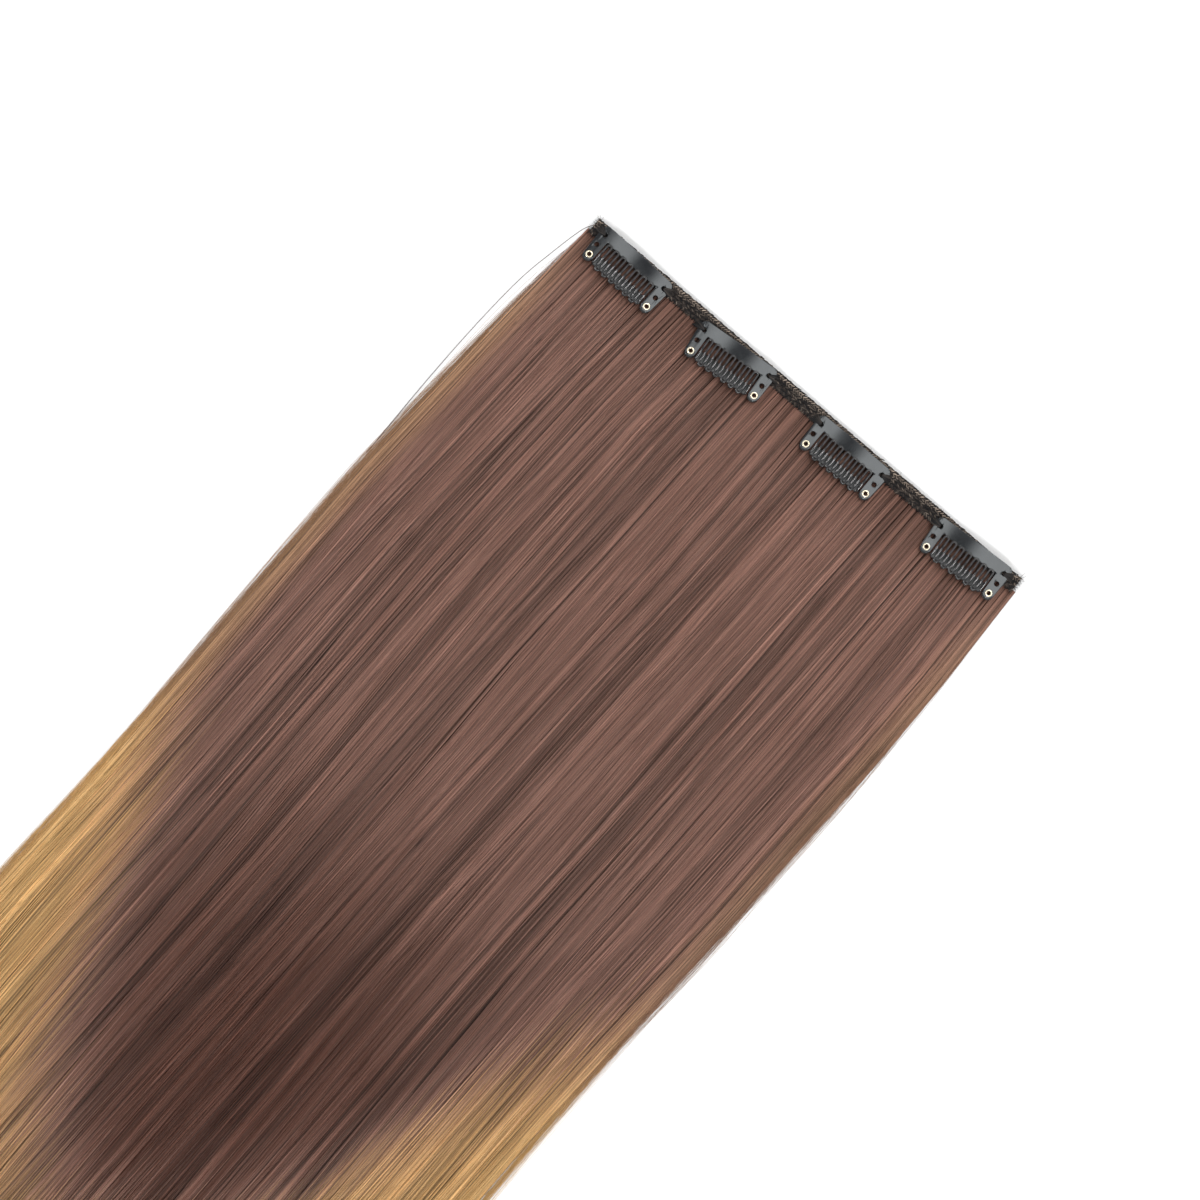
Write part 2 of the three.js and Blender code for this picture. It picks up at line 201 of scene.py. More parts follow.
# The body under the single hairs: shares of the fall's width, length and thickness, and its painted shade,
# deeper in its grooves, which shows in the gaps between the hairs
BASE_COLUMNS = 260
BASE_ROWS = 66
BASE_INSET = 0.008
BASE_REACH = 0.745
BASE_THINNING = 0.85
BASE_TOP = 0.80
BASE_BOTTOM = 0.12
BASE_RIB = 0.10
BASE_PAINTED_SHADE = -1.3
BASE_GROOVE_PAINTED_SHADE = 0.5

# Loose hairs, and the stray one, whose places are in millimetres out from the band's left end, down from
# its top edge and up from the floor
FLYAWAY_COUNT = 320
FLYAWAY_LEFT_SHARE = 0.58
FLYAWAY_END = 0.93
FLYAWAY_RADIUS = 0.05
STRAY_RADIUS = 0.16
STRAY_TONE = -1.2
STRAY_ROUTE = (
    dict(out=-0.8, down=2.5, up=2.4), dict(out=2.5, down=8.4, up=2.8), dict(out=6.0, down=24, up=2.4),
    dict(out=8.7, down=40, up=2.0), dict(out=10.3, down=65, up=1.4), dict(out=10.8, down=95, up=0.9),
    dict(out=10.4, down=132, up=0.5),
)

# The band's section in shares of its thickness, its tape in millimetres, and its fuzz
BAND_BODY = 0.86
BAND_RIBS = 5
BAND_RIB_DEPTH = 0.07
BAND_EDGE_DROP = 0.40
TAPE_COLUMNS = 360
TAPE_ROWS = 20
TAPE_RAG = 0.22
TAPE_INSET = 0.3
TAPE_PUCKER = 0.05
FUZZ_TOP_SHARE = 0.12
FUZZ_EDGE_LENGTH = (0.6, 2.2)
FUZZ_END_LENGTH = (0.8, 3.2)
FUZZ_RADII = (0.05, 0.10)

# The rows of stitches, from the band's top edge down. across is a share of its width, pitch and length
# are in millimetres, slant in degrees, and tone runs from black thread, 0, to pale hair, 1.
STITCH_ROWS = (
    dict(across=0.06, pitch=1.15, length=1.5, slant=8, tone=0.04, thick=0.24),
    dict(across=0.17, pitch=1.30, length=1.5, slant=34, tone=0.60, thick=0.22),
    dict(across=0.29, pitch=1.10, length=1.4, slant=-38, tone=0.26, thick=0.21),
    dict(across=0.43, pitch=1.25, length=1.6, slant=18, tone=0.06, thick=0.25),
    dict(across=0.57, pitch=1.20, length=1.5, slant=-30, tone=0.14, thick=0.23),
    dict(across=0.71, pitch=1.25, length=1.6, slant=22, tone=0.03, thick=0.25),
    dict(across=0.85, pitch=1.15, length=1.5, slant=-48, tone=0.04, thick=0.24),
    dict(across=0.95, pitch=1.05, length=1.4, slant=66, tone=0.01, thick=0.24),
)

# The snap clips, in millimetres, measured from the line through a clip's two eyelets
EYELET_SPACING = 31
PLATE_HEIGHT = 13.6
PLATE_THICKNESS = 0.6
PLATE_BOW = 1.2
PLATE_CORNER = 2.6
PLATE_EDGE_ROUND = 0.16
PLATE_COLUMN = 1.3
SHORTEST_EDGE = 0.2
SHOULDER_WIDTH = 3
LEG_RADIUS = 2.4
WINDOW_HEIGHT = 7.6
NOTCH_RADIUS = 0.75
NOTCH_PLACES = (-1, -0.34, 0.34, 1)
WINDOW_SCALLOP = 0.45
SEWING_HOLE_RADIUS = 1
SEWING_HOLE_OUTSET = 0.4
SEWING_HOLE_ROWS = (0.36, 0.73)
TOOTH_COUNT = 7
STRAND_WIDTH = 0.95
STRAND_THICKNESS = 0.6
TOOTH_OVERLAP = 1
TOOTH_ARCH = 0.8
STRIP_SQUARENESS = 0.93
LOBE_DEPTH = 3.3
LOBE_DROP = 0.2
COMB_SIDE_GAP = 0.6
PIVOT_DEPTH = 1.2
SEAT_GAP = 0.3
TUBE_WIDTH = 4.6
TUBE_HEIGHT = 1.3
TUBE_ABOVE_PIVOT = 1.3
TUBE_BULGE = 0.16
TUBE_END_TAPER = 0.35
TUBE_STATIONS = 105
EYELET_HOLE_RADIUS = 0.75
EYELET_FLANGE_RADIUS = 1.55
EYELET_ROLL = 0.36
EYELET_WALL = 0.35
EYELET_STANDS_OUT = 0.08
COMB_END_THICKNESS = 0.35
COMB_END_DROP = 0.4
THREAD_TURNS = 8
THREAD_RADIUS = 0.27

HALF_SPAN = EYELET_SPACING / 2
LEG_INNER = HALF_SPAN - LEG_RADIUS
SHOULDER = HALF_SPAN + SHOULDER_WIDTH
TOOTH_TOP = WINDOW_HEIGHT + TOOTH_OVERLAP
STRAND_COUNT = 2 * TOOTH_COUNT
STRAND_PITCH = (2 * (LEG_INNER - COMB_SIDE_GAP) - STRAND_WIDTH) / (STRAND_COUNT - 1)
CLIP_COUNT = 4

# The camera's view, in metres and degrees, and the floor
VIEW_WIDTH = 0.480
LENS = 85
SENSOR = 36
CAMERA_TURN = 40.46
VIEW_RIGHT_OF_BAND_START = 0.09915
VIEW_BELOW_BAND_TOP = 0.1163
FLOOR_HALF = 4
FLOOR_COLOUR = (0.88, 0.88, 0.88, 1)

# The soft box overhead, by the limits of the directions in which it shows, and the lamps, in metres
SOFTBOX_LIGHT = 3.0
SURROUND_LIGHT = 0.68
DARK_LIGHT = 0.10
BOX_GAP = (0.045, 0.125)
BOX_LEFT_EDGE = (-0.30, -0.21)
BOX_NEAR_EDGE = (-0.22, -0.10)
BOX_HEIGHT = (0.86, 0.91)
LAMP_AIM = (0, 0.1, 0)
STUDIO_LAMPS = (
    dict(name="top_lamp", place=(0.3, 1.5, 1.3), size=(1.6, 0.9), watts=8),
    dict(name="left_lamp", place=(-0.80, -0.45, 1.35), size=(0.20, 0.20), watts=6),
    dict(name="right_lamp", place=(0.70, -0.50, 1.35), size=(0.20, 0.20), watts=6),
)


def smoothstep(value, low, high):
    """0 below a low limit, 1 above a high one, and a smooth rise between them."""
    part = np.clip((np.asarray(value, float) - low) / (high - low), 0, 1)
    return part * part * (3 - 2 * part)


def lerp(a, b, part):
    """The value at a part of the way from a to b."""
    return a + (b - a) * part


def grid_shell(columns, rows):
    """Two grids, one over the other and joined round their rim: the bmesh, each point's places along and
    across, from 0 to 1, and which points belong to the lower grid."""
    bm = bmesh.new()
    bmesh.ops.create_grid(bm, x_segments=columns, y_segments=rows, size=0.5)
    lower = set(bm.verts)
    bmesh.ops.extrude_face_region(bm, geom=bm.faces[:], use_keep_orig=True)
    flat = np.array([vert.co[:] for vert in bm.verts])
    is_lower = np.array([vert in lower for vert in bm.verts])
    return bm, flat[:, 0] + 0.5, 0.5 - flat[:, 1], is_lower


def link_object(name, mesh):
    piece = bpy.data.objects.new(name, mesh)
    bpy.context.scene.collection.objects.link(piece)
    return piece


def dress(piece, body, slot, material, *replaced):
    """Gives a finished piece its material and its body, and hides the CAD nodes that it stands for; its slot
    is not used.
    """
    piece.data.materials.clear()
    piece.data.materials.append(material)
    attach(piece, body)
    if replaced:
        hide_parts(*replaced)
    return piece


def mesh_from_bmesh(name, bm, place=None):
    """The mesh of a bmesh, smooth, with its normals outwards, put at its place."""
    bmesh.ops.recalc_face_normals(bm, faces=bm.faces)
    for face in bm.faces:
        face.smooth = True
    mesh = bpy.data.meshes.new(name)
    bm.to_mesh(mesh)
    bm.free()
    if place is not None:
        mesh.transform(place)
    return mesh


def mesh_from_arrays(name, points, faces, **attributes):
    """A smooth mesh from arrays of points and of quads or triangles, with its point attributes."""
    mesh = bpy.data.meshes.new(name)
    mesh.vertices.add(len(points))
    mesh.vertices.foreach_set("co", np.ascontiguousarray(points, np.float32).ravel())
    corners = np.concatenate([block.ravel() for block in faces])
    totals = np.concatenate([np.full(len(block), block.shape[1]) for block in faces])
    starts = np.concatenate([[0], np.cumsum(totals)[:-1]])
    mesh.loops.add(len(corners))
    mesh.loops.foreach_set("vertex_index", corners.astype(np.int32))
    mesh.polygons.add(len(totals))
    mesh.polygons.foreach_set("loop_start", starts.astype(np.int32))
    mesh.polygons.foreach_set("use_smooth", np.ones(len(totals), bool))
    for key, values in attributes.items():
        layer = mesh.attributes.new(key, "FLOAT", "POINT")
        layer.data.foreach_set("value", np.ascontiguousarray(values, np.float32).ravel())
    mesh.update(calc_edges=True)
    return mesh


def shell_mesh(name, bm, x, y, z, **attributes):
    """The mesh of a shell whose points are put at x, y and z, with its point attributes."""
    for vert, place in zip(bm.verts, np.stack([x, y, z], axis=1)):
        vert.co = place
    mesh = mesh_from_bmesh(name, bm)
    for key, values in attributes.items():
        mesh.attributes.new(key, "FLOAT", "POINT").data.foreach_set("value", values.astype(np.float32))
    return mesh


def tube_arrays(paths, radii, sides):
    """Closed tubes along many paths: paths is (tube, station, xyz), and radii is (tube, station)."""
    tubes, stations, _ = paths.shape
    ahead = np.gradient(paths, axis=1)
    ahead /= np.linalg.norm(ahead, axis=2, keepdims=True)
    side = np.cross(ahead, np.array([0.07, 0.03, 1.0]))
    side /= np.linalg.norm(side, axis=2, keepdims=True)
    lift = np.cross(side, ahead)
    angles = np.arange(sides) * 2 * math.pi / sides + math.pi / 2
    ring = (
        np.cos(angles)[:, None] * side[:, :, None, :] + np.sin(angles)[:, None] * lift[:, :, None, :]
    )
    points = paths[:, :, None, :] + radii[:, :, None, None] * ring
    index = np.arange(tubes * stations * sides).reshape(tubes, stations, sides)
    after = np.roll(index, -1, axis=2)
    quads = np.stack([index[:, :-1], index[:, 1:], after[:, 1:], after[:, :-1]], axis=-1)
    caps = [index[:, 0, :], index[:, -1, ::-1]]
    return points.reshape(-1, 3), [quads.reshape(-1, 4), *caps]


def tube_mesh(name, paths, radii, sides=3, **per_station):
    """One mesh of many closed tubes, with each attribute given for each station of each tube."""
    points, faces = tube_arrays(paths, radii, sides)
    spread = {key: np.repeat(values.ravel(), sides) for key, values in per_station.items()}
    return mesh_from_arrays(name, points, faces, **spread)


def smooth_path(points, stations):
    """Points along a Catmull-Rom curve through a few chosen ones."""
    chosen = np.asarray(points, float)
    padded = np.vstack([2 * chosen[0] - chosen[1], chosen, 2 * chosen[-1] - chosen[-2]])
    where = np.linspace(0, len(chosen) - 1 - 1e-9, stations)
    start = where.astype(int)
    part = (where - start)[:, None]
    a, b, c, d = (padded[start + i] for i in range(4))
    return 0.5 * (
        2 * b + (c - a) * part + (2 * a - 5 * b + 4 * c - d) * part**2
        + (3 * b - a - 3 * c + d) * part**3
    )


# Materials

def new_material(name, roughness=0.5, metallic=0.0, **constants):
    """A material with its Principled shader, whose plain numbers are set on the shader's own sockets."""
    material = bpy.data.materials.new(name)
    material.use_nodes = True
    tree = material.node_tree
    shader = tree.nodes["Principled BSDF"]
    shader.inputs["Roughness"].default_value = roughness
    shader.inputs["Metallic"].default_value = metallic
    for key, value in constants.items():
        shader.inputs[key.replace("_", " ")].default_value = value
    return material, tree, shader


def add_node(tree, kind, settings=(), **inputs):
    """A node with its settings, and with each input linked to a socket or set to a value."""
    node = tree.nodes.new(kind)
    for key, value in dict(settings).items():
        setattr(node, key, value)
    for key, value in inputs.items():
        socket = node.inputs[int(key[1:])] if key[0] == "_" else node.inputs[key.replace("_", " ")]
        if isinstance(value, bpy.types.NodeSocket):
            tree.links.new(value, socket)
        else:
            socket.default_value = value
    return node


def math_node(tree, operation, first, second=0.0, third=0.0):
    node = add_node(tree, "ShaderNodeMath", dict(operation=operation), _0=first, _1=second, _2=third)
    return node.outputs[0]


def colour_ramp(tree, factor, stops):
    """A colour ramp over a factor, from a list of places and linear colours."""
    node = add_node(tree, "ShaderNodeValToRGB", _0=factor)
    ramp = node.color_ramp
    while len(ramp.elements) < len(stops):
        ramp.elements.new(0.5)
    for element, (place, colour) in zip(ramp.elements, stops):
        element.position = place
        element.color = (*colour, 1)
    return node.outputs["Color"]


def bump(tree, shader, height, strength, distance):
    node = add_node(tree, "ShaderNodeBump", Strength=strength, Distance=distance, Height=height)
    tree.links.new(node.outputs["Normal"], shader.inputs["Normal"])


def stretched_noise(tree, vector, scale, detail=2.0):
    """Noise over coordinates that are stretched by a scale for each axis."""
    mapped = add_node(tree, "ShaderNodeMapping", Vector=vector, Scale=scale)
    noise = add_node(tree, "ShaderNodeTexNoise", Vector=mapped.outputs[0], Scale=1.0, Detail=detail)
    return noise.outputs["Fac"]


def effect_group(name, inputs, outputs):
    """An empty shader group with named number inputs and outputs, and its two end nodes."""
    group = bpy.data.node_groups.new(name, "ShaderNodeTree")
    for key, value in inputs.items():
        socket = group.interface.new_socket(key, in_out="INPUT", socket_type="NodeSocketFloat")
        socket.default_value = value
    for key in outputs:
        group.interface.new_socket(key, in_out="OUTPUT", socket_type="NodeSocketFloat")
    return group, group.nodes.new("NodeGroupInput"), group.nodes.new("NodeGroupOutput")


def fine_grain_group():
    """Handling marks on a hard finish: a value between low and high, over object coordinates."""
    group, given, out = effect_group(
        "Fine grain", {"Scale": 400.0, "Low": 0.1, "High": 0.3}, ("Value", "Height"))
    place = group.nodes.new("ShaderNodeTexCoord")
    coarse = add_node(group, "ShaderNodeTexNoise", Vector=place.outputs["Object"],
                      Scale=given.outputs["Scale"], Detail=4.0)
    fine_scale = math_node(group, "MULTIPLY", given.outputs["Scale"], 7.0)
    fine = add_node(group, "ShaderNodeTexNoise", Vector=place.outputs["Object"],
                    Scale=fine_scale, Detail=2.0)
    value = add_node(group, "ShaderNodeMapRange", Value=coarse.outputs["Fac"], From_Min=0.3, From_Max=0.7,
                     To_Min=given.outputs["Low"], To_Max=given.outputs["High"])
    group.links.new(value.outputs["Result"], out.inputs["Value"])
    group.links.new(fine.outputs["Fac"], out.inputs["Height"])
    return group


def strand_streaks_group():
    """Fine streaks that run down the hair: a shade about 1, and a height for bump."""
    group, given, out = effect_group(
        "Strand streaks", {"Fine": 0.2, "Broad": 0.15}, ("Shade", "Height"))
    place = group.nodes.new("ShaderNodeTexCoord")
    fine = stretched_noise(group, place.outputs["Object"], (2600, 14, 900))
    broad = stretched_noise(group, place.outputs["Object"], (260, 5, 60), 3.0)
    fine_part = math_node(group, "MULTIPLY_ADD", fine, 2.0, -1.0)
    broad_part = math_node(group, "MULTIPLY_ADD", broad, 2.0, -1.0)
    fine_shade = math_node(group, "MULTIPLY_ADD", fine_part, given.outputs["Fine"], 1.0)
    shade = math_node(group, "MULTIPLY_ADD", broad_part, given.outputs["Broad"], fine_shade)
    group.links.new(shade, out.inputs["Shade"])
    group.links.new(fine, out.inputs["Height"])
    return group


def twisted_fibre_group():
    """The mottled shade and the nap of a spun thread or a tape, over object coordinates."""
    group, given, out = effect_group("Twisted fibre", {"Scale": 2500.0, "Depth": 0.5}, ("Shade", "Height"))
    place = group.nodes.new("ShaderNodeTexCoord")
    nap = add_node(group, "ShaderNodeTexNoise", Vector=place.outputs["Object"],
                   Scale=given.outputs["Scale"], Detail=5.0, Roughness=0.7)
    centred = math_node(group, "MULTIPLY_ADD", nap.outputs["Fac"], 2.0, -1.0)
    shade = math_node(group, "MULTIPLY_ADD", centred, given.outputs["Depth"], 1.0)
    group.links.new(shade, out.inputs["Shade"])
    group.links.new(nap.outputs["Fac"], out.inputs["Height"])
    return group


def use_group(tree, group, **inputs):
    node = tree.nodes.new("ShaderNodeGroup")
    node.node_tree = group
    for key, value in inputs.items():
        node.inputs[key].default_value = value
    return node


def shaded(tree, colour, shade):
    """A colour made darker or lighter by a shade about 1."""
    node = add_node(tree, "ShaderNodeVectorMath", dict(operation="SCALE"), _0=colour, Scale=shade)
    return node.outputs[0]


def attribute(tree, name):
    return add_node(tree, "ShaderNodeAttribute", dict(attribute_name=name)).outputs["Fac"]


def hair_material(name, streaks, fine, broad, roughness, gloss):
    """Brown hair that turns to golden blonde along its ombre, which also holds a painted glow along the thin
    edges, each strand with a tone of its own that also holds painted shade and painted highlights.
    """
    material, tree, shader = new_material(name, roughness=roughness, Specular_IOR_Level=gloss)
    colour = colour_ramp(tree, attribute(tree, "ombre"), HAIR_COLOURS)
    run = use_group(tree, streaks, Fine=fine, Broad=broad)
    tone = math_node(tree, "MULTIPLY_ADD", attribute(tree, "tone"), TONE_STRENGTH, 1.0)
    tone = math_node(tree, "MAXIMUM", tone, DARKEST_SHADE)
    shade = math_node(tree, "MULTIPLY", run.outputs["Shade"], tone)
    tree.links.new(shaded(tree, colour, shade), shader.inputs["Base Color"])
    bump(tree, shader, run.outputs["Height"], 0.4, 0.1 * MM)
    return material


def thread_material(name, fibre, dark, light, scale):
    """Spun thread or tape between a dark and a light colour, by the tone of each piece of it."""
    material, tree, shader = new_material(name, roughness=0.75, Specular_IOR_Level=0.3)
    colour = colour_ramp(tree, attribute(tree, "tone"), ((0.0, dark), (1.0, light)))
    nap = use_group(tree, fibre, Scale=scale, Depth=0.55)
    tree.links.new(shaded(tree, colour, nap.outputs["Shade"]), shader.inputs["Base Color"])
    bump(tree, shader, nap.outputs["Height"], 0.7, 0.08 * MM)
    return material


def hard_material(name, grain, colour, roughness, metallic, scale, relief, **constants):
    """Paint, brass or silicone: one colour, with grain in its shade, gloss and surface."""
    material, tree, shader = new_material(name, metallic=metallic, **constants)
    marks = use_group(tree, grain, Scale=scale, Low=roughness[0], High=roughness[1])
    tree.links.new(marks.outputs["Value"], shader.inputs["Roughness"])
    fade = add_node(tree, "ShaderNodeMapRange", Value=marks.outputs["Value"],
                    From_Min=roughness[0], From_Max=roughness[1])
    worn = tuple(WORN_SHADE * part for part in colour)
    mixed = colour_ramp(tree, fade.outputs["Result"], ((0.0, colour), (1.0, worn)))
    tree.links.new(mixed, shader.inputs["Base Color"])
    bump(tree, shader, marks.outputs["Height"], relief, 0.02 * MM)
    return material


def make_materials():
    grain, streaks, fibre = fine_grain_group(), strand_streaks_group(), twisted_fibre_group()
    return dict(
        hair=hair_material("brown_to_blonde_hair", streaks, 0.34, 0.16, 0.42, 0.24),
        hair_base=hair_material("hair_under_the_strands", streaks, 0.5, 0.3, 0.85, 0.08),
        tape=thread_material("dark_weft_tape", fibre, (0.007, 0.006, 0.006), (0.05, 0.035, 0.028), 1800),
        stitch=thread_material("weft_stitch_thread", fibre, (0.006, 0.006, 0.007), (0.50, 0.40, 0.32), 4000),
        paint=hard_material("glossy_black_paint", grain, (0.016, 0.017, 0.019), (0.10, 0.17), 0.0, 260, 0.12,
                            IOR=1.58, Coat_Weight=0.4, Coat_Roughness=0.08,
                            Specular_Tint=(0.92, 0.98, 1.0, 1)),
        comb=hard_material("black_comb_paint", grain, (0.006, 0.006, 0.007), (0.12, 0.20), 0.0, 420, 0.15,
                           IOR=1.65),
        silicone=hard_material("black_silicone", grain, (0.012, 0.013, 0.014), (0.26, 0.4), 0.0, 500, 0.3,
                               IOR=1.6),
        brass=hard_material("polished_brass", grain, (0.95, 0.86, 0.66), (0.16, 0.30), 1.0, 700, 0.15),
    )


# Hair

def fall_column(name, down):
    """A column of the fall's table at shares of its length."""
    return np.interp(down, [row["down"] for row in FALL], [row[name] for row in FALL])


def fall_x(across, down):
    """The x of a share of the fall's width, at a share of its length."""
    left = BAND_LEFT - fall_column("left", down) * HAIR_SPREAD
    right = BAND_RIGHT + fall_column("right", down) * HAIR_SPREAD
    return lerp(left, right, across)


def fall_thickness(across, down):
    """The thickness of the fall, thinner towards its edges and uneven from lock to lock."""
    body = lerp(ROOT_THICKNESS, FULL_THICKNESS, fall_column("body", down))
    body = body * lerp(1, TIP_THINNING, smoothstep(down, 0.8, 1))
    to_edge = np.minimum(across, 1 - across) * BAND_LENGTH
    edge = lerp(EDGE_THICKNESS, 1, smoothstep(to_edge, 0, EDGE_THINNING))
    swell = 0.5 + 0.5 * np.sin(SWELL_WAVES * across + SWELL_WANDER * np.sin(down * 5 + across * 9))
    return body * edge * (1 - SWELL_DEPTH * swell * smoothstep(down, 0.02, 0.2))


def change_at(across, down, scatter=0.0):
    """The hair's colour, from 0, deep brown, by brown and tan to 1, blonde."""
    depth = down * HAIR_LENGTH / MM
    line_across, line_down = ([row[key] for row in CHANGE_LINE] for key in ("across", "down"))
    half_way = np.interp(across, line_across, line_down)
    change = smoothstep((depth - half_way) / CHANGE_RUN + 0.5 + scatter, 0, 1)
    middle = 1 - (2 * (across - DEEPEST_ACROSS)) ** 2
    deep = middle * smoothstep(depth, *DEEPEST_DOWN)
    to_edge = np.minimum(across, 1 - across) * BAND_LENGTH / MM
    # The lighter rim along both edges is painted light: a glow of light through the thin edge hairs.
    rim = lerp(*RIM_GLOW_CHANGE, across) * (1 - smoothstep(to_edge, 0, PAINTED_GLOW_RIM)) * smoothstep(depth, 0, RIM_GLOW_START)
    return np.clip(BROWN_SHARE * (1 - deep) + (1 - BROWN_SHARE) * change + rim, 0, 1)


def of_clumps(start, width, rng, blended=False):
    """A random value for each hair, which hairs of a clump share, or which blends over to the next clump."""
    clumps = int(BAND_LENGTH / MM / width) + 1
    values = rng.normal(0, 1, clumps)
    if blended:
        return np.interp(start, np.linspace(0, 1, clumps), values)
    return values[(np.clip(start, 0, 1) * (clumps - 1e-6)).astype(int)]


def lock_of(across):
    """The middle and the reach of the lock that each share of the width belongs to."""
    widths = np.array([lock["width"] for lock in LOCKS])
    ends = np.cumsum(widths) / widths.sum()
    which = np.searchsorted(ends, np.clip(across, 0, 1 - 1e-6), side="right")
    middles = ends - widths / widths.sum() / 2
    return middles[which], np.array([lock["reach"] for lock in LOCKS])[which]


def sway(across, down):
    """A slow sideways wander that neighbouring hairs share, as a share of the width."""
    wander = sum(wave["size"] * np.sin(wave["down"] * down + wave["across"] * across + wave["phase"])
                 for wave in SWAYS)
    return wander * smoothstep(down, 0, SWAY_START)


def pleat_of(start):
    """How far each hair lies from the middle of its pleat in the band, and how deep that pleat is."""
    drifts = (wave["size"] * np.sin(start * wave["across"] + wave["phase"]) for wave in PLEAT_DRIFTS)
    warped = start + sum(drifts)
    pleat = PLEAT_PITCH / BAND_LENGTH
    offset = (warped / pleat) % 1 - 0.5
    depth = np.abs(np.sin((warped / pleat).astype(int) * PLEAT_DEPTH_TURN))
    return offset * pleat, depth


def strand_paths(count, low, high, rng):
    """The paths of single hairs that follow the fall, and their across and down at each station."""
    start = (rng.permutation(count) + rng.random(count)) / count
    middle, lock_reach = lock_of(start)
    uneven = WISP_UNEVENNESS * of_clumps(start, WISP_WIDTH, np.random.default_rng(UNEVEN_SEED))
    short = np.where(rng.random(count) < SHORT_SHARE, rng.random(count) * SHORT_BY,
                     rng.random(count) * LONG_SHORT_BY)
    reach = lock_reach - short - np.abs(uneven)
    along = np.linspace(0, 1, STRAND_STATIONS) ** STATION_POWER
    down = reach[:, None] * along[None, :]
    clump_drift = of_clumps(start, CLUMP_DRIFT_WIDTH, np.random.default_rng(DRIFT_SEED), blended=True)
    drift = CLUMP_DRIFT * clump_drift + rng.normal(0, STRAND_DRIFT, count)
    bend = rng.normal(0, STRAND_BEND, count)[:, None] * np.sin(
        down * (4 + 9 * rng.random(count))[:, None] + FULL_TURN * rng.random(count)[:, None])
    wander = drift[:, None] * smoothstep(down, 0, 0.5) + bend * smoothstep(down, 0, 0.1)
    inward = smoothstep(np.minimum(start, 1 - start), 0, 0.03)[:, None]
    across = start[:, None] + sway(start[:, None], down) + wander * lerp(0.4, 1, inward)
    wisp = of_clumps(start, WISP_WIDTH, np.random.default_rng(WISP_SEED))
    aim = middle + TIP_WIDTH * (start - middle) + WISP_AIM * wisp
    tip = smoothstep(down, lock_reach[:, None] - LOCK_TAPER, lock_reach[:, None])
    across = lerp(across, aim[:, None], TIP_PULL * tip * rng.random(count)[:, None] ** TIP_PULL_POWER)
    offset, depth = pleat_of(start)
    gather = PLEAT_GATHER * depth[:, None] * inward * (1 - smoothstep(down, 0.0, GATHER_RUN))
    across = across - gather * offset[:, None]
    level = lerp(low, high, rng.random(count))[:, None]
    level = level + LEVEL_WAVE * np.sin(down * 17 + FULL_TURN * rng.random(count)[:, None])
    inside = np.clip(across, 0, 1)
    z = LOWEST_HAIR + np.clip(level, 0, HIGHEST_LEVEL) * fall_thickness(inside, down)
    y = ROOT_Y + ROOT_TUCK - down * (HAIR_LENGTH + ROOT_TUCK)
    return np.stack([fall_x(across, down), y, z], axis=-1), inside, down


def strand_tone(start, down, rng):
    """Darker and lighter hairs, in narrow streaks that neighbours share, with painted shade near the roots
    that is darkest between the pleats.
    """
    shared = np.random.default_rng(CLUMP_SEED)
    tone = rng.normal(0, OWN_SHADE, len(start))
    for clump in CLUMPS:
        tone = tone + clump["weight"] * of_clumps(start, clump["width"], shared)
    offset, depth = pleat_of(start)
    # Painted shade near the roots, darkest at the edges of the deeper pleats, where the hairs fold into the
    # band.
    between = 2 * np.abs(offset) * BAND_LENGTH / PLEAT_PITCH * depth
    root = (1 - smoothstep(down, 0.0, ROOT_PAINTED_SHADE_RUN)) * (ROOT_PAINTED_SHADE + PLEAT_PAINTED_SHADE * between)[:, None]
    return np.clip(tone[:, None] - root, *TONE_LIMITS)


def hair_layer(layer, material):
    """One layer of single hairs, each a closed tube that thins towards its tip."""
    rng = np.random.default_rng(layer["seed"])
    paths, inside, down = strand_paths(layer["count"], layer["low"], layer["high"], rng)
    size = lerp(*STRAND_SIZES, rng.random(len(paths)))[:, None]
    radii = layer["radius"] * MM * size * (1 - STRAND_TAPER * smoothstep(down, 0.7, 1.0))
    ombre = change_at(inside, down, rng.normal(0, CHANGE_SCATTER, len(paths))[:, None])
    # The layer's tone is painted shade on the lower layers and a painted highlight on the thin top layer;
    # each hair's own tone is added to it.
    tone = (layer["tone"] + strand_tone(inside[:, 0], down, rng)) * (1 - BLONDE_EVENNESS * ombre)
    mesh = tube_mesh(layer["name"], paths, radii, ombre=ombre, tone=tone)
    return dress(link_object(layer["name"], mesh), WEFT, "hair", material, "hair_fall")


def hair_base(material):
    """The body of the fall under the outer hairs, ribbed along its length, closed above and below, and dark
    all over with painted shade, darkest in its grooves.
    """
    bm, along_band, along_hair, is_lower = grid_shell(BASE_COLUMNS, BASE_ROWS)
    across, down = lerp(BASE_INSET, 1 - BASE_INSET, along_band), BASE_REACH * along_hair
    rib = 0.5 + 0.5 * np.sin(across * 613 + 3 * np.sin(across * 97) + 2 * np.sin(down * 7))
    thinning = 1 - BASE_THINNING * smoothstep(down, 0.6 * BASE_REACH, BASE_REACH)
    thickness = fall_thickness(across, down) * thinning
    upper = LOWEST_HAIR + thickness * (BASE_TOP - BASE_RIB * rib)
    x = fall_x(across + sway(across, down), down)
    y = ROOT_Y + ROOT_TUCK - down * (HAIR_LENGTH + ROOT_TUCK)
    z = np.where(is_lower, LOWEST_HAIR + BASE_BOTTOM * thickness, upper)
    mesh = shell_mesh("hair_base", bm, x, y, z, ombre=change_at(across, down),
                      tone=BASE_PAINTED_SHADE - BASE_GROOVE_PAINTED_SHADE * rib)
    return dress(link_object("hair_base", mesh), WEFT, "hair", material, "hair_fall")


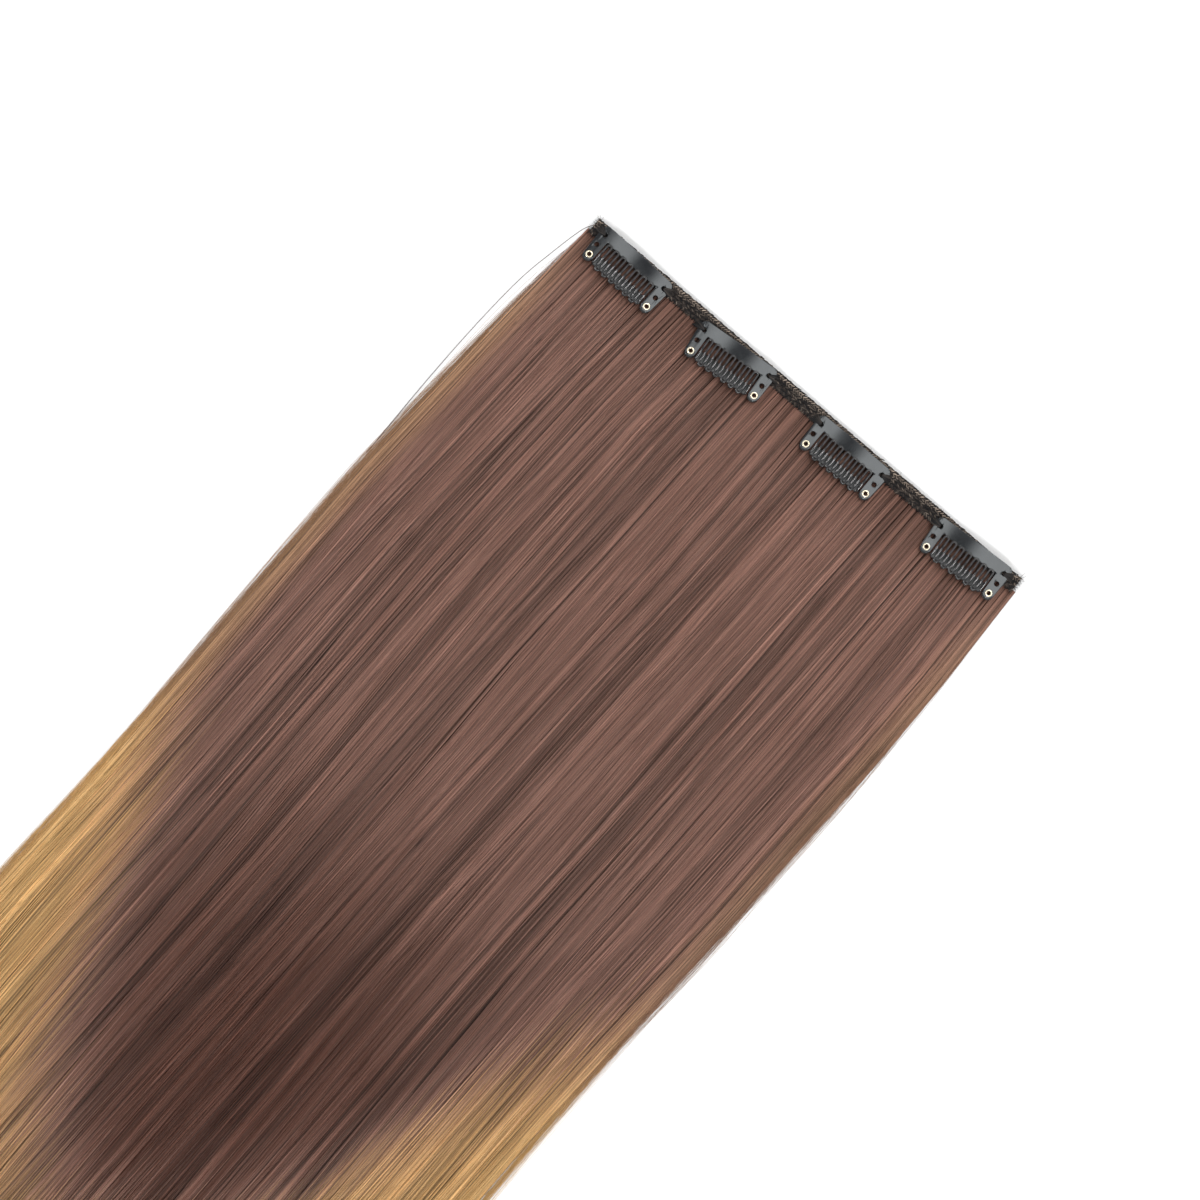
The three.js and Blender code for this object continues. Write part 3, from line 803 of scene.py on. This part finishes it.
def hair_flyaways(material):
    """Loose single hairs along both edges of the fall."""
    rng = np.random.default_rng(71)
    count = FLYAWAY_COUNT
    left = np.arange(count) < FLYAWAY_LEFT_SHARE * count
    begin = rng.random(count) * 0.5
    end = np.minimum(begin + 0.15 + 0.4 * rng.random(count), FLYAWAY_END)
    down = lerp(begin[:, None], end[:, None], np.linspace(0, 1, STRAND_STATIONS)[None, :])
    out = (0.3 + 3.2 * rng.random(count) ** 2)[:, None] * MM
    bow = np.sin(math.pi * np.linspace(0, 1, STRAND_STATIONS) ** lerp(0.7, 1.3, rng.random(count))[:, None])
    offset = (out * bow - rng.random(count)[:, None] * 1.5 * MM) * np.where(left, -1, 1)[:, None]
    edge = fall_x(np.where(left, 0.0, 1.0)[:, None], down)
    y = ROOT_Y - down * HAIR_LENGTH
    z = LOWEST_HAIR + 0.3 * MM + 1.2 * MM * bow * rng.random(count)[:, None]
    paths = np.stack([edge + offset, y, z], axis=-1)
    tones = np.repeat(0.4 * rng.random(count)[:, None] + 0.1, STRAND_STATIONS, axis=1)
    ombre = change_at(np.where(left, 0.0, 1.0)[:, None], down)
    radii = np.full(down.shape, FLYAWAY_RADIUS * MM)
    mesh = tube_mesh("hair_flyaways", paths, radii, ombre=ombre, tone=tones)
    return dress(link_object("hair_flyaways", mesh), WEFT, "hair", material)


def hair_stray(material):
    """The one dark hair that arches out from the band's left corner and lies back along the fall."""
    route = [(BAND_LEFT - row["out"] * MM, BAND_TOP - row["down"] * MM, row["up"] * MM)
             for row in STRAY_ROUTE]
    stations = STRAND_STATIONS * 3
    path = smooth_path(route, stations)[None]
    mesh = tube_mesh("hair_stray", path, np.full((1, stations), STRAY_RADIUS * MM),
                     ombre=np.zeros((1, stations)), tone=np.full((1, stations), STRAY_TONE))
    return dress(link_object("hair_stray", mesh), WEFT, "hair", material)


# Weft band

def band_profile(across):
    """The height of the sewn band across its width, 0 at its top edge, as a share of its thickness."""
    rib = BAND_RIB_DEPTH * np.cos(2 * math.pi * across * BAND_RIBS)
    return BAND_BODY + rib - BAND_EDGE_DROP * (1 - smoothstep(np.minimum(across, 1 - across), 0, 0.10))


def weft_tape(material):
    """The folded tape of the band, ribbed along its rows of stitches, with uneven edges."""
    rng = np.random.default_rng(5)
    bm, along, across, is_lower = grid_shell(TAPE_COLUMNS, TAPE_ROWS)
    ragged = TAPE_RAG * MM * np.sin(along * 700 + 3 * np.sin(along * 211)) * (2 * across - 1)
    x = lerp(BAND_LEFT, BAND_RIGHT, along)
    y = BAND_TOP - TAPE_INSET * MM - across * (BAND_WIDTH - 0.4 * MM) - ragged
    pucker = TAPE_PUCKER * np.sin(along * 520 + across * 9) + 0.03 * rng.standard_normal(len(along))
    upper = BAND_THICKNESS * (band_profile(across) + pucker)
    z = np.where(is_lower, 0.05 * MM, upper)
    tone = np.clip(0.25 + 0.5 * rng.random(len(along)) * (across > 0.5), 0, 1)
    mesh = shell_mesh("weft_tape", bm, x, y, z, tone=tone)
    return dress(link_object("weft_tape", mesh), WEFT, "band_thread", material, "weft_band")


def weft_stitches(material):
    """Rows of short arched stitches along the band, all one mesh."""
    rng = np.random.default_rng(8)
    stations = 5
    bend = np.linspace(-1, 1, stations)
    paths, radii, tones = [], [], []
    for row in STITCH_ROWS:
        count = int(BAND_LENGTH / MM / row["pitch"])
        middle_x = lerp(BAND_LEFT, BAND_RIGHT, (np.arange(count) + 0.5) / count)
        middle_x = middle_x + rng.normal(0, 0.12 * MM, count)
        middle_y = BAND_TOP - row["across"] * BAND_WIDTH + rng.normal(0, 0.10 * MM, count)
        slant = np.radians(row["slant"] + rng.normal(0, 9, count))
        half = row["length"] * MM * lerp(0.42, 0.58, rng.random(count))
        x = middle_x[:, None] + half[:, None] * bend * np.cos(slant)[:, None]
        y = middle_y[:, None] + half[:, None] * bend * np.sin(slant)[:, None]
        rise = BAND_THICKNESS * band_profile(np.clip((BAND_TOP - y) / BAND_WIDTH, 0, 1))
        arch = 0.30 * MM * (1 - 1.3 * bend**2)
        paths.append(np.stack([x, y, np.minimum(rise + arch, BAND_THICKNESS + 0.1 * MM)], axis=-1))
        thick = row["thick"] * MM * lerp(0.75, 1.1, rng.random(count))
        radii.append(thick[:, None] * (1 - 0.25 * bend**4)[None, :])
        tone = np.clip(row["tone"] + rng.normal(0, 0.16, count), 0, 1)
        tones.append(np.repeat(tone[:, None], stations, axis=1))
    mesh = tube_mesh("weft_stitches", np.concatenate(paths), np.concatenate(radii), sides=6,
                     tone=np.concatenate(tones))
    return dress(link_object("weft_stitches", mesh), WEFT, "band_thread", material)


def weft_fuzz(material):
    """Cut ends of thread and hair that stand out of the band along its edges and at both ends."""
    rng = np.random.default_rng(29)
    edge_count, end_count, stations = 420, 80, 6
    count = edge_count + 2 * end_count
    top = rng.random(edge_count) < FUZZ_TOP_SHARE
    x = [lerp(BAND_LEFT, BAND_RIGHT, rng.random(edge_count)),
         np.full(end_count, BAND_LEFT + 0.8 * MM), np.full(end_count, BAND_RIGHT - 0.8 * MM)]
    y = [np.where(top, BAND_TOP - 0.7 * MM, BAND_BOTTOM + 0.7 * MM)]
    y += [lerp(BAND_BOTTOM, BAND_TOP, rng.random(end_count)) for _ in range(2)]
    aim = [np.where(top, math.pi / 2, -math.pi / 2) + rng.normal(0, 0.7, edge_count),
           math.pi + rng.normal(0, 0.8, end_count), rng.normal(0, 0.8, end_count)]
    root = np.stack([np.concatenate(x), np.concatenate(y),
                     BAND_THICKNESS * lerp(0.3, 0.8, rng.random(count))], axis=-1)
    aim = np.concatenate(aim)
    length = MM * np.concatenate([lerp(*FUZZ_EDGE_LENGTH, rng.random(edge_count) ** 2),
                                  lerp(*FUZZ_END_LENGTH, rng.random(2 * end_count) ** 1.5)])
    part = np.linspace(0, 1, stations)
    turn = aim[:, None] + rng.normal(0, 0.6, count)[:, None] * part
    step = length[:, None] / (stations - 1)
    run_x = np.cumsum(np.cos(turn) * step, axis=1) - np.cos(turn[:, :1]) * step
    run_y = np.cumsum(np.sin(turn) * step, axis=1) - np.sin(turn[:, :1]) * step
    z = np.maximum(root[:, 2:] - part**2 * length[:, None] * 0.5, 0.1 * MM)
    paths = np.stack([root[:, :1] + run_x, root[:, 1:2] + run_y, z], axis=-1)
    radii = lerp(*FUZZ_RADII, rng.random(count))[:, None] * MM * (1 - 0.6 * part)
    tone = np.repeat(np.clip(rng.normal(0.12, 0.12, count), 0, 1)[:, None], stations, axis=1)
    mesh = tube_mesh("weft_fuzz", paths, radii, tone=tone)
    return dress(link_object("weft_fuzz", mesh), WEFT, "band_thread", material)


# Snap clips, in millimetres until they are put in place

def bow_at(x):
    """How high the bowed plate stands above its ends, at a distance along the clip."""
    return PLATE_BOW * (1 - (x / SHOULDER) ** 2)


def clip_place(joint):
    """The place of a clip: the middle of its eyelet line, level with the underside of the plate's ends."""
    along, up = Vector(joint["axis"]).normalized(), Vector((0, 0, 1))
    across = up.cross(along)
    lift = (bow_at(LEG_INNER) + STRAND_THICKNESS / 2) * MM
    origin = Vector(joint["pos_m"]) + across * PIVOT_DEPTH * MM - up * lift
    turned = Matrix((along, across, up)).transposed().to_4x4()
    return Matrix.Translation(origin) @ turned @ Matrix.Scale(MM, 4)


def arc(middle_x, middle_y, radius, start, end, steps=8):
    """Points of an arc, from one angle to another, in degrees."""
    angles = np.radians(np.linspace(start, end, steps + 1))
    return [(middle_x + radius * math.cos(a), middle_y + radius * math.sin(a)) for a in angles]


def plate_rim():
    """The plate's outline: round the legs and the shoulders, and back along the notched window."""
    corner_x, corner_y = SHOULDER - PLATE_CORNER, PLATE_HEIGHT - PLATE_CORNER
    rim = arc(HALF_SPAN, 0, LEG_RADIUS, 180, 360, 16)
    rim += arc(corner_x, corner_y, PLATE_CORNER, 0, 90)
    rim += arc(-corner_x, corner_y, PLATE_CORNER, 90, 180)
    rim += arc(-HALF_SPAN, 0, LEG_RADIUS, 180, 360, 16)
    middles = [place * (LEG_INNER - NOTCH_RADIUS) for place in NOTCH_PLACES]
    for number, middle in enumerate(middles):
        rim += arc(middle, WINDOW_HEIGHT, NOTCH_RADIUS, 180, 0)
        if number + 1 < len(middles):
            start, end = middle + NOTCH_RADIUS, middles[number + 1] - NOTCH_RADIUS
            rim += [(lerp(start, end, part), WINDOW_HEIGHT + WINDOW_SCALLOP * math.sin(math.pi * part))
                    for part in np.linspace(0, 1, 8)[1:-1]]
    return rim


def closed_loop(bm, points):
    """A closed loop through points: its points and its edges."""
    verts = [bm.verts.new(point) for point in points]
    return verts, [bm.edges.new((a, b)) for a, b in zip(verts, verts[1:] + verts[:1])]


def filled_sheet(bm, outlines):
    """Fills flat outlines, the first round the sheet and the others round its holes."""
    loops = [closed_loop(bm, [(x, y, 0) for x, y in outline])[1] for outline in outlines]
    bmesh.ops.triangle_fill(bm, use_beauty=True, edges=[edge for loop in loops for edge in loop])


def cut_columns(bm, places):
    """Cuts the whole mesh across the clip at each place along it, so that it can follow the bow."""
    for x in places:
        bmesh.ops.bisect_plane(bm, geom=bm.verts[:] + bm.edges[:] + bm.faces[:],
                               plane_co=(x, 0, 0), plane_no=(1, 0, 0))


def thicken(bm, thickness):
    """Makes a flat sheet a closed one of a thickness."""
    made = bmesh.ops.extrude_face_region(bm, geom=bm.faces[:], use_keep_orig=True)
    raised = [item for item in made["geom"] if isinstance(item, bmesh.types.BMVert)]
    bmesh.ops.translate(bm, verts=raised, vec=(0, 0, thickness))
    bmesh.ops.recalc_face_normals(bm, faces=bm.faces)


def spring_plate(name, place, material):
    """The bowed plate of sheet metal, with its window, its sewing holes and rounded edges."""
    outlines = [plate_rim()]
    for side in (-1, 1):
        outlines.append(arc(side * HALF_SPAN, 0, EYELET_HOLE_RADIUS + EYELET_WALL, 0, 337.5, 15))
        for row in SEWING_HOLE_ROWS:
            hole_x = side * (HALF_SPAN + SEWING_HOLE_OUTSET)
            outlines.append(arc(hole_x, row * PLATE_HEIGHT, SEWING_HOLE_RADIUS, 0, 342, 19))
    bm = bmesh.new()
    filled_sheet(bm, outlines)
    cut_columns(bm, np.arange(-SHOULDER, SHOULDER, PLATE_COLUMN))
    bmesh.ops.remove_doubles(bm, verts=bm.verts, dist=SHORTEST_EDGE)
    thicken(bm, PLATE_THICKNESS)
    rims = [edge for edge in bm.edges if edge.is_manifold and edge.calc_face_angle() > math.radians(60)
            and abs(edge.verts[0].co.z - edge.verts[1].co.z) < 0.5 * PLATE_THICKNESS]
    bmesh.ops.bevel(bm, geom=rims, offset=PLATE_EDGE_ROUND, offset_type="OFFSET", segments=2, profile=0.5,
                    affect="EDGES", material=-1, clamp_overlap=False)
    for vert in bm.verts:
        vert.co.z += bow_at(vert.co.x)
    piece = link_object(f"{name}_spring_plate", mesh_from_bmesh(f"{name}_spring_plate", bm, place))
    piece.modifiers.new("even_shading", "WEIGHTED_NORMAL").weight = 80
    return dress(piece, WEFT, "black_paint", material, f"{name}_plate")


def tooth_rise(y):
    """How high the comb's strip runs above the plate's underside, at a height on the clip."""
    above = y + PIVOT_DEPTH
    if above < 0:
        return LOBE_DROP * above / (LOBE_DEPTH - PIVOT_DEPTH)
    over_plate = float(smoothstep(y, -PIVOT_DEPTH, WINDOW_HEIGHT - STRAND_WIDTH))
    arch = math.sin(math.pi * above / (TOOTH_TOP + PIVOT_DEPTH))
    return (PLATE_THICKNESS + SEAT_GAP) * over_plate + TOOTH_ARCH * arch


def comb_route():
    """The middle line of the strip that winds up and down between the plate's legs."""
    bend = STRAND_PITCH / 2
    top, low = TOOTH_TOP - bend - STRAND_WIDTH / 2, -LOBE_DEPTH + bend + STRAND_WIDTH / 2
    first = -STRAND_PITCH * (STRAND_COUNT - 1) / 2
    route = [(-LEG_INNER + SEAT_GAP + 0.1, -PIVOT_DEPTH - 0.25), (first - 0.12, -PIVOT_DEPTH + 0.1)]
    for number in range(STRAND_COUNT):
        x = first + number * STRAND_PITCH
        rising, is_first, is_last = number % 2 == 0, number == 0, number == STRAND_COUNT - 1
        foot = -PIVOT_DEPTH + 0.9 if is_first or is_last else low
        heights = np.linspace(foot, top, 9) if rising else np.linspace(top, foot, 9)
        route += [(x, y) for y in heights]
        if rising:
            route += arc(x + bend, top, bend, 180, 0, 8)[1:-1]
        elif not is_last:
            route += arc(x + bend, low, bend, 180, 360, 8)[1:-1]
    return route + [(-x, y) for x, y in route[1::-1]]


def strip_mesh(name, points, width, height, place, sides=10):
    """A strip of rounded section along a route, made by sweeping a profile curve."""
    profile = bpy.data.curves.new(f"{name}_profile", "CURVE")
    profile.dimensions = "2D"
    rim = profile.splines.new("POLY")
    rim.points.add(sides - 1)
    for number, point in enumerate(rim.points):
        angle = 2 * math.pi * number / sides
        across, up = (math.copysign(abs(part) ** STRIP_SQUARENESS, part)
                      for part in (math.cos(angle), math.sin(angle)))
        point.co = (width / 2 * across, height / 2 * up, 0, 1)
    rim.use_cyclic_u = True
    section = link_object(f"{name}_section", profile)
    curve = bpy.data.curves.new(name, "CURVE")
    curve.dimensions = "3D"
    curve.twist_mode = "Z_UP"
    curve.bevel_mode = "OBJECT"
    curve.bevel_object = section
    curve.use_fill_caps = True
    line = curve.splines.new("POLY")
    line.points.add(len(points) - 1)
    for point, (x, y, z) in zip(line.points, points):
        point.co = (x, y, z, 1)
    swept = link_object(name, curve)
    bpy.context.view_layer.update()
    mesh = bpy.data.meshes.new_from_object(swept.evaluated_get(bpy.context.evaluated_depsgraph_get()))
    for helper in (swept, section):
        data = helper.data
        bpy.data.objects.remove(helper)
        bpy.data.curves.remove(data)
    bm = bmesh.new()
    bm.from_mesh(mesh)
    bpy.data.meshes.remove(mesh)
    bmesh.ops.remove_doubles(bm, verts=bm.verts, dist=1e-4)
    return mesh_from_bmesh(name, bm, place)


def tooth_comb(name, body, place, material):
    """The comb of looped teeth, one strip that winds up and down, arched over the plate."""
    points = [(x, y, bow_at(x) + tooth_rise(y) + STRAND_THICKNESS / 2) for x, y in comb_route()]
    piece_name = f"{name}_tooth_comb"
    mesh = strip_mesh(piece_name, points, STRAND_WIDTH, STRAND_THICKNESS, place)
    return dress(link_object(piece_name, mesh), body, "black_paint", material, f"{name}_comb")


def silicone_tube(name, body, place, material):
    """The grip tube, pressed in where the comb's strip crosses it and swelling in between."""
    half = LEG_INNER - COMB_SIDE_GAP
    bm = bmesh.new()
    bmesh.ops.create_cone(bm, cap_ends=True, segments=20, radius1=1, radius2=1, depth=2 * half,
                          matrix=Matrix.Rotation(math.pi / 2, 4, "Y"))
    cut_columns(bm, np.linspace(-half, half, TUBE_STATIONS)[1:-1])
    middle = -SEAT_GAP - TUBE_HEIGHT / 2
    for vert in bm.verts:
        x, y, z = vert.co
        swell = -TUBE_BULGE * math.cos(2 * math.pi * x / STRAND_PITCH)
        end = 1 - TUBE_END_TAPER * float(smoothstep(abs(x), half - 0.8, half))
        vert.co.y = (TUBE_WIDTH / 2 + 0.5 * swell) * y * end + TUBE_ABOVE_PIVOT - PIVOT_DEPTH
        vert.co.z = (TUBE_HEIGHT / 2 + swell) * z * end + middle + TUBE_BULGE + bow_at(x)
    piece_name = f"{name}_silicone_tube"
    mesh = mesh_from_bmesh(piece_name, bm, place)
    return dress(link_object(piece_name, mesh), body, "silicone", material, f"{name}_grip_tube")


def eyelet_ring(name, side_name, side, place, material):
    """A rolled eyelet: its section, round above and below the plate, spun about its own axis."""
    ring_radius = EYELET_FLANGE_RADIUS - EYELET_ROLL
    top = PLATE_THICKNESS / 2 + EYELET_STANDS_OUT
    section = [(ring_radius + EYELET_ROLL * math.cos(a), 0, top + 0.75 * EYELET_ROLL * math.sin(a))
               for a in np.radians(np.linspace(-60, 180, 9))]
    section += [(x, 0, -z) for x, _, z in reversed(section)]
    bm = bmesh.new()
    verts, edges = closed_loop(bm, section)
    bmesh.ops.spin(bm, geom=verts + edges, cent=(0, 0, 0), axis=(0, 0, 1), angle=2 * math.pi, steps=28,
                   use_merge=True)
    bmesh.ops.remove_doubles(bm, verts=bm.verts, dist=1e-4)
    slope = math.atan(2 * PLATE_BOW * HALF_SPAN / SHOULDER**2)
    middle = Vector((side * HALF_SPAN, 0, bow_at(HALF_SPAN) + PLATE_THICKNESS / 2))
    local = Matrix.Translation(middle) @ Matrix.Rotation(side * slope, 4, "Y")
    piece_name = f"{name}_{side_name}_eyelet_ring"
    mesh = mesh_from_bmesh(piece_name, bm, place @ local)
    return dress(link_object(piece_name, mesh), WEFT, "brass", material, f"{name}_{side_name}_eyelet")


def comb_ends(name, place, material):
    """The riveted ends of the comb's strip, one under each leg of the plate, up to where the strip bends."""
    reach = LEG_INNER - 0.05
    rivet = arc(HALF_SPAN, -0.35, LEG_RADIUS + 0.15, 110, 340)[2:]
    outline = [(reach, -PIVOT_DEPTH - 0.75), *rivet, (reach, -PIVOT_DEPTH + 0.7)]
    bm = bmesh.new()
    for side in (-1, 1):
        filled_sheet(bm, [[(side * x, y) for x, y in outline]])
    thicken(bm, COMB_END_THICKNESS)
    for vert in bm.verts:
        vert.co.z += bow_at(vert.co.x) - COMB_END_DROP
    piece_name = f"{name}_comb_ends"
    mesh = mesh_from_bmesh(piece_name, bm, place)
    return dress(link_object(piece_name, mesh), WEFT, "black_paint", material)


def sewing_thread(name, place, material, rng):
    """Turns of thread through the upper sewing holes, over the plate's sides and down into the band."""
    stations = 22
    hole_y = SEWING_HOLE_ROWS[1] * PLATE_HEIGHT
    band_level = BAND_THICKNESS / MM * 0.75 - 3.5
    top = bow_at(SHOULDER - 0.5) + PLATE_THICKNESS + 0.22
    paths = []
    for side in (-1, 1):
        hole_x = side * (HALF_SPAN + SEWING_HOLE_OUTSET)
        for fan in np.linspace(0, 1, THREAD_TURNS):
            jitter = rng.normal(0, 0.12, 4)
            in_x, in_y = hole_x + side * 0.25, hole_y + lerp(-0.45, 0.45, fan)
            out_x, out_y = side * (SHOULDER + 0.25 + 0.25 * fan), hole_y + lerp(-0.9, 2.1, fan) + jitter[0]
            end_x = side * (SHOULDER + lerp(2.6, 0.9, fan)) + jitter[1]
            end_y = hole_y + lerp(-0.6, 2.6, fan) + jitter[2]
            paths.append(smooth_path([
                (in_x, in_y, bow_at(in_x) - 0.35),
                (in_x, in_y, bow_at(in_x) + PLATE_THICKNESS + 0.18),
                (lerp(in_x, out_x, 0.5), lerp(in_y, out_y, 0.5), top + 0.1),
                (out_x, out_y, bow_at(SHOULDER) + PLATE_THICKNESS * 0.7),
                (end_x, end_y, band_level),
            ], stations))
    paths = np.array(paths)
    world = np.array(place)
    placed = paths @ world[:3, :3].T + world[:3, 3]
    radii = np.full(paths.shape[:2], THREAD_RADIUS * MM)
    tone = np.repeat(np.clip(rng.normal(0.02, 0.03, len(paths)), 0, 1)[:, None], stations, axis=1)
    piece_name = f"{name}_sewing_thread"
    mesh = tube_mesh(piece_name, placed, radii, sides=7, tone=tone)
    return dress(link_object(piece_name, mesh), WEFT, "band_thread", material)


def snap_clips(materials):
    """The four clips, each at its hinge, with its comb and tube on the comb's own body."""
    rng = np.random.default_rng(53)
    hinges = {joint["child"]: joint for joint in frame["joints"]}
    for number in range(1, CLIP_COUNT + 1):
        name, body = f"clip_{number}", f"comb_{number}"
        place = clip_place(hinges[body])
        spring_plate(name, place, materials["paint"])
        tooth_comb(name, body, place, materials["comb"])
        silicone_tube(name, body, place, materials["silicone"])
        for side_name, side in (("left", -1), ("right", 1)):
            eyelet_ring(name, side_name, side, place, materials["brass"])
        comb_ends(name, place, materials["comb"])
        sewing_thread(name, place, materials["stitch"], rng)


# Camera, floor and light

def photo_camera():
    """Looks straight down, turned so that the hair falls to the lower left of the picture."""
    camera = bpy.data.cameras.new("camera")
    camera.lens = LENS
    camera.sensor_width = SENSOR
    holder = link_object("camera", camera)
    holder.location = (BAND_LEFT + VIEW_RIGHT_OF_BAND_START, BAND_TOP - VIEW_BELOW_BAND_TOP,
                       VIEW_WIDTH * LENS / SENSOR + BAND_THICKNESS)
    holder.rotation_euler = (0, 0, math.radians(CAMERA_TURN))
    bpy.context.scene.camera = holder


def pale_floor():
    """The plain floor that the hair lies on."""
    bm = bmesh.new()
    bmesh.ops.create_grid(bm, x_segments=1, y_segments=1, size=FLOOR_HALF)
    mesh = mesh_from_bmesh("floor", bm)
    material, _, shader = new_material("pale_floor", roughness=0.9, Specular_IOR_Level=0.1)
    shader.inputs["Base Color"].default_value = FLOOR_COLOUR
    mesh.materials.append(material)
    link_object("floor", mesh)


def soft_step(tree, value, limits):
    """A smooth step of a value between two limits."""
    low, high = limits
    node = add_node(tree, "ShaderNodeMapRange", dict(interpolation_type="SMOOTHSTEP"),
                    Value=value, From_Min=low, From_Max=high)
    return node.outputs["Result"]


def studio_light():
    """A pale surround with a soft box of light overhead that has a narrow dark gap, and three lamps."""
    world = bpy.data.worlds.new("studio")
    world.use_nodes = True
    bpy.context.scene.world = world
    tree = world.node_tree
    direction = add_node(tree, "ShaderNodeTexCoord").outputs["Generated"]
    parts = add_node(tree, "ShaderNodeSeparateXYZ", Vector=direction)
    aside = math_node(tree, "ABSOLUTE", parts.outputs["X"])
    gap = soft_step(tree, aside, BOX_GAP)
    side = soft_step(tree, parts.outputs["X"], BOX_LEFT_EDGE)
    near = soft_step(tree, parts.outputs["Y"], BOX_NEAR_EDGE)
    overhead = soft_step(tree, parts.outputs["Z"], BOX_HEIGHT)
    box = math_node(tree, "MULTIPLY", near, side)
    box = math_node(tree, "MULTIPLY", box, gap)
    above = math_node(tree, "MULTIPLY_ADD", box, SOFTBOX_LIGHT, DARK_LIGHT)
    below = math_node(tree, "LESS_THAN", parts.outputs["Y"], BOX_NEAR_EDGE[0])
    spread = math_node(tree, "MULTIPLY", below, SURROUND_LIGHT)
    above = math_node(tree, "MAXIMUM", above, spread)
    lifted = math_node(tree, "MULTIPLY", above, overhead)
    around = math_node(tree, "MULTIPLY_ADD", overhead, -SURROUND_LIGHT, SURROUND_LIGHT)
    background = tree.nodes["Background"]
    background.inputs["Color"].default_value = (1.0, 1.0, 1.0, 1)
    tree.links.new(math_node(tree, "ADD", lifted, around), background.inputs["Strength"])
    for row in STUDIO_LAMPS:
        lamp = bpy.data.lights.new(row["name"], "AREA")
        lamp.shape = "RECTANGLE"
        lamp.size, lamp.size_y = row["size"]
        lamp.energy = row["watts"]
        holder = link_object(row["name"], lamp)
        holder.location = row["place"]
        aim = Vector(LAMP_AIM) - holder.location
        holder.rotation_euler = aim.to_track_quat("-Z", "Y").to_euler()
    bpy.context.scene.view_settings.view_transform = "Standard"


photo_camera()
pale_floor()
studio_light()
materials = make_materials()
hair_base(materials["hair_base"])
for layer in HAIR_LAYERS:
    hair_layer(layer, materials["hair"])
hair_flyaways(materials["hair"])
hair_stray(materials["hair"])
weft_tape(materials["tape"])
weft_stitches(materials["stitch"])
weft_fuzz(materials["stitch"])
snap_clips(materials)
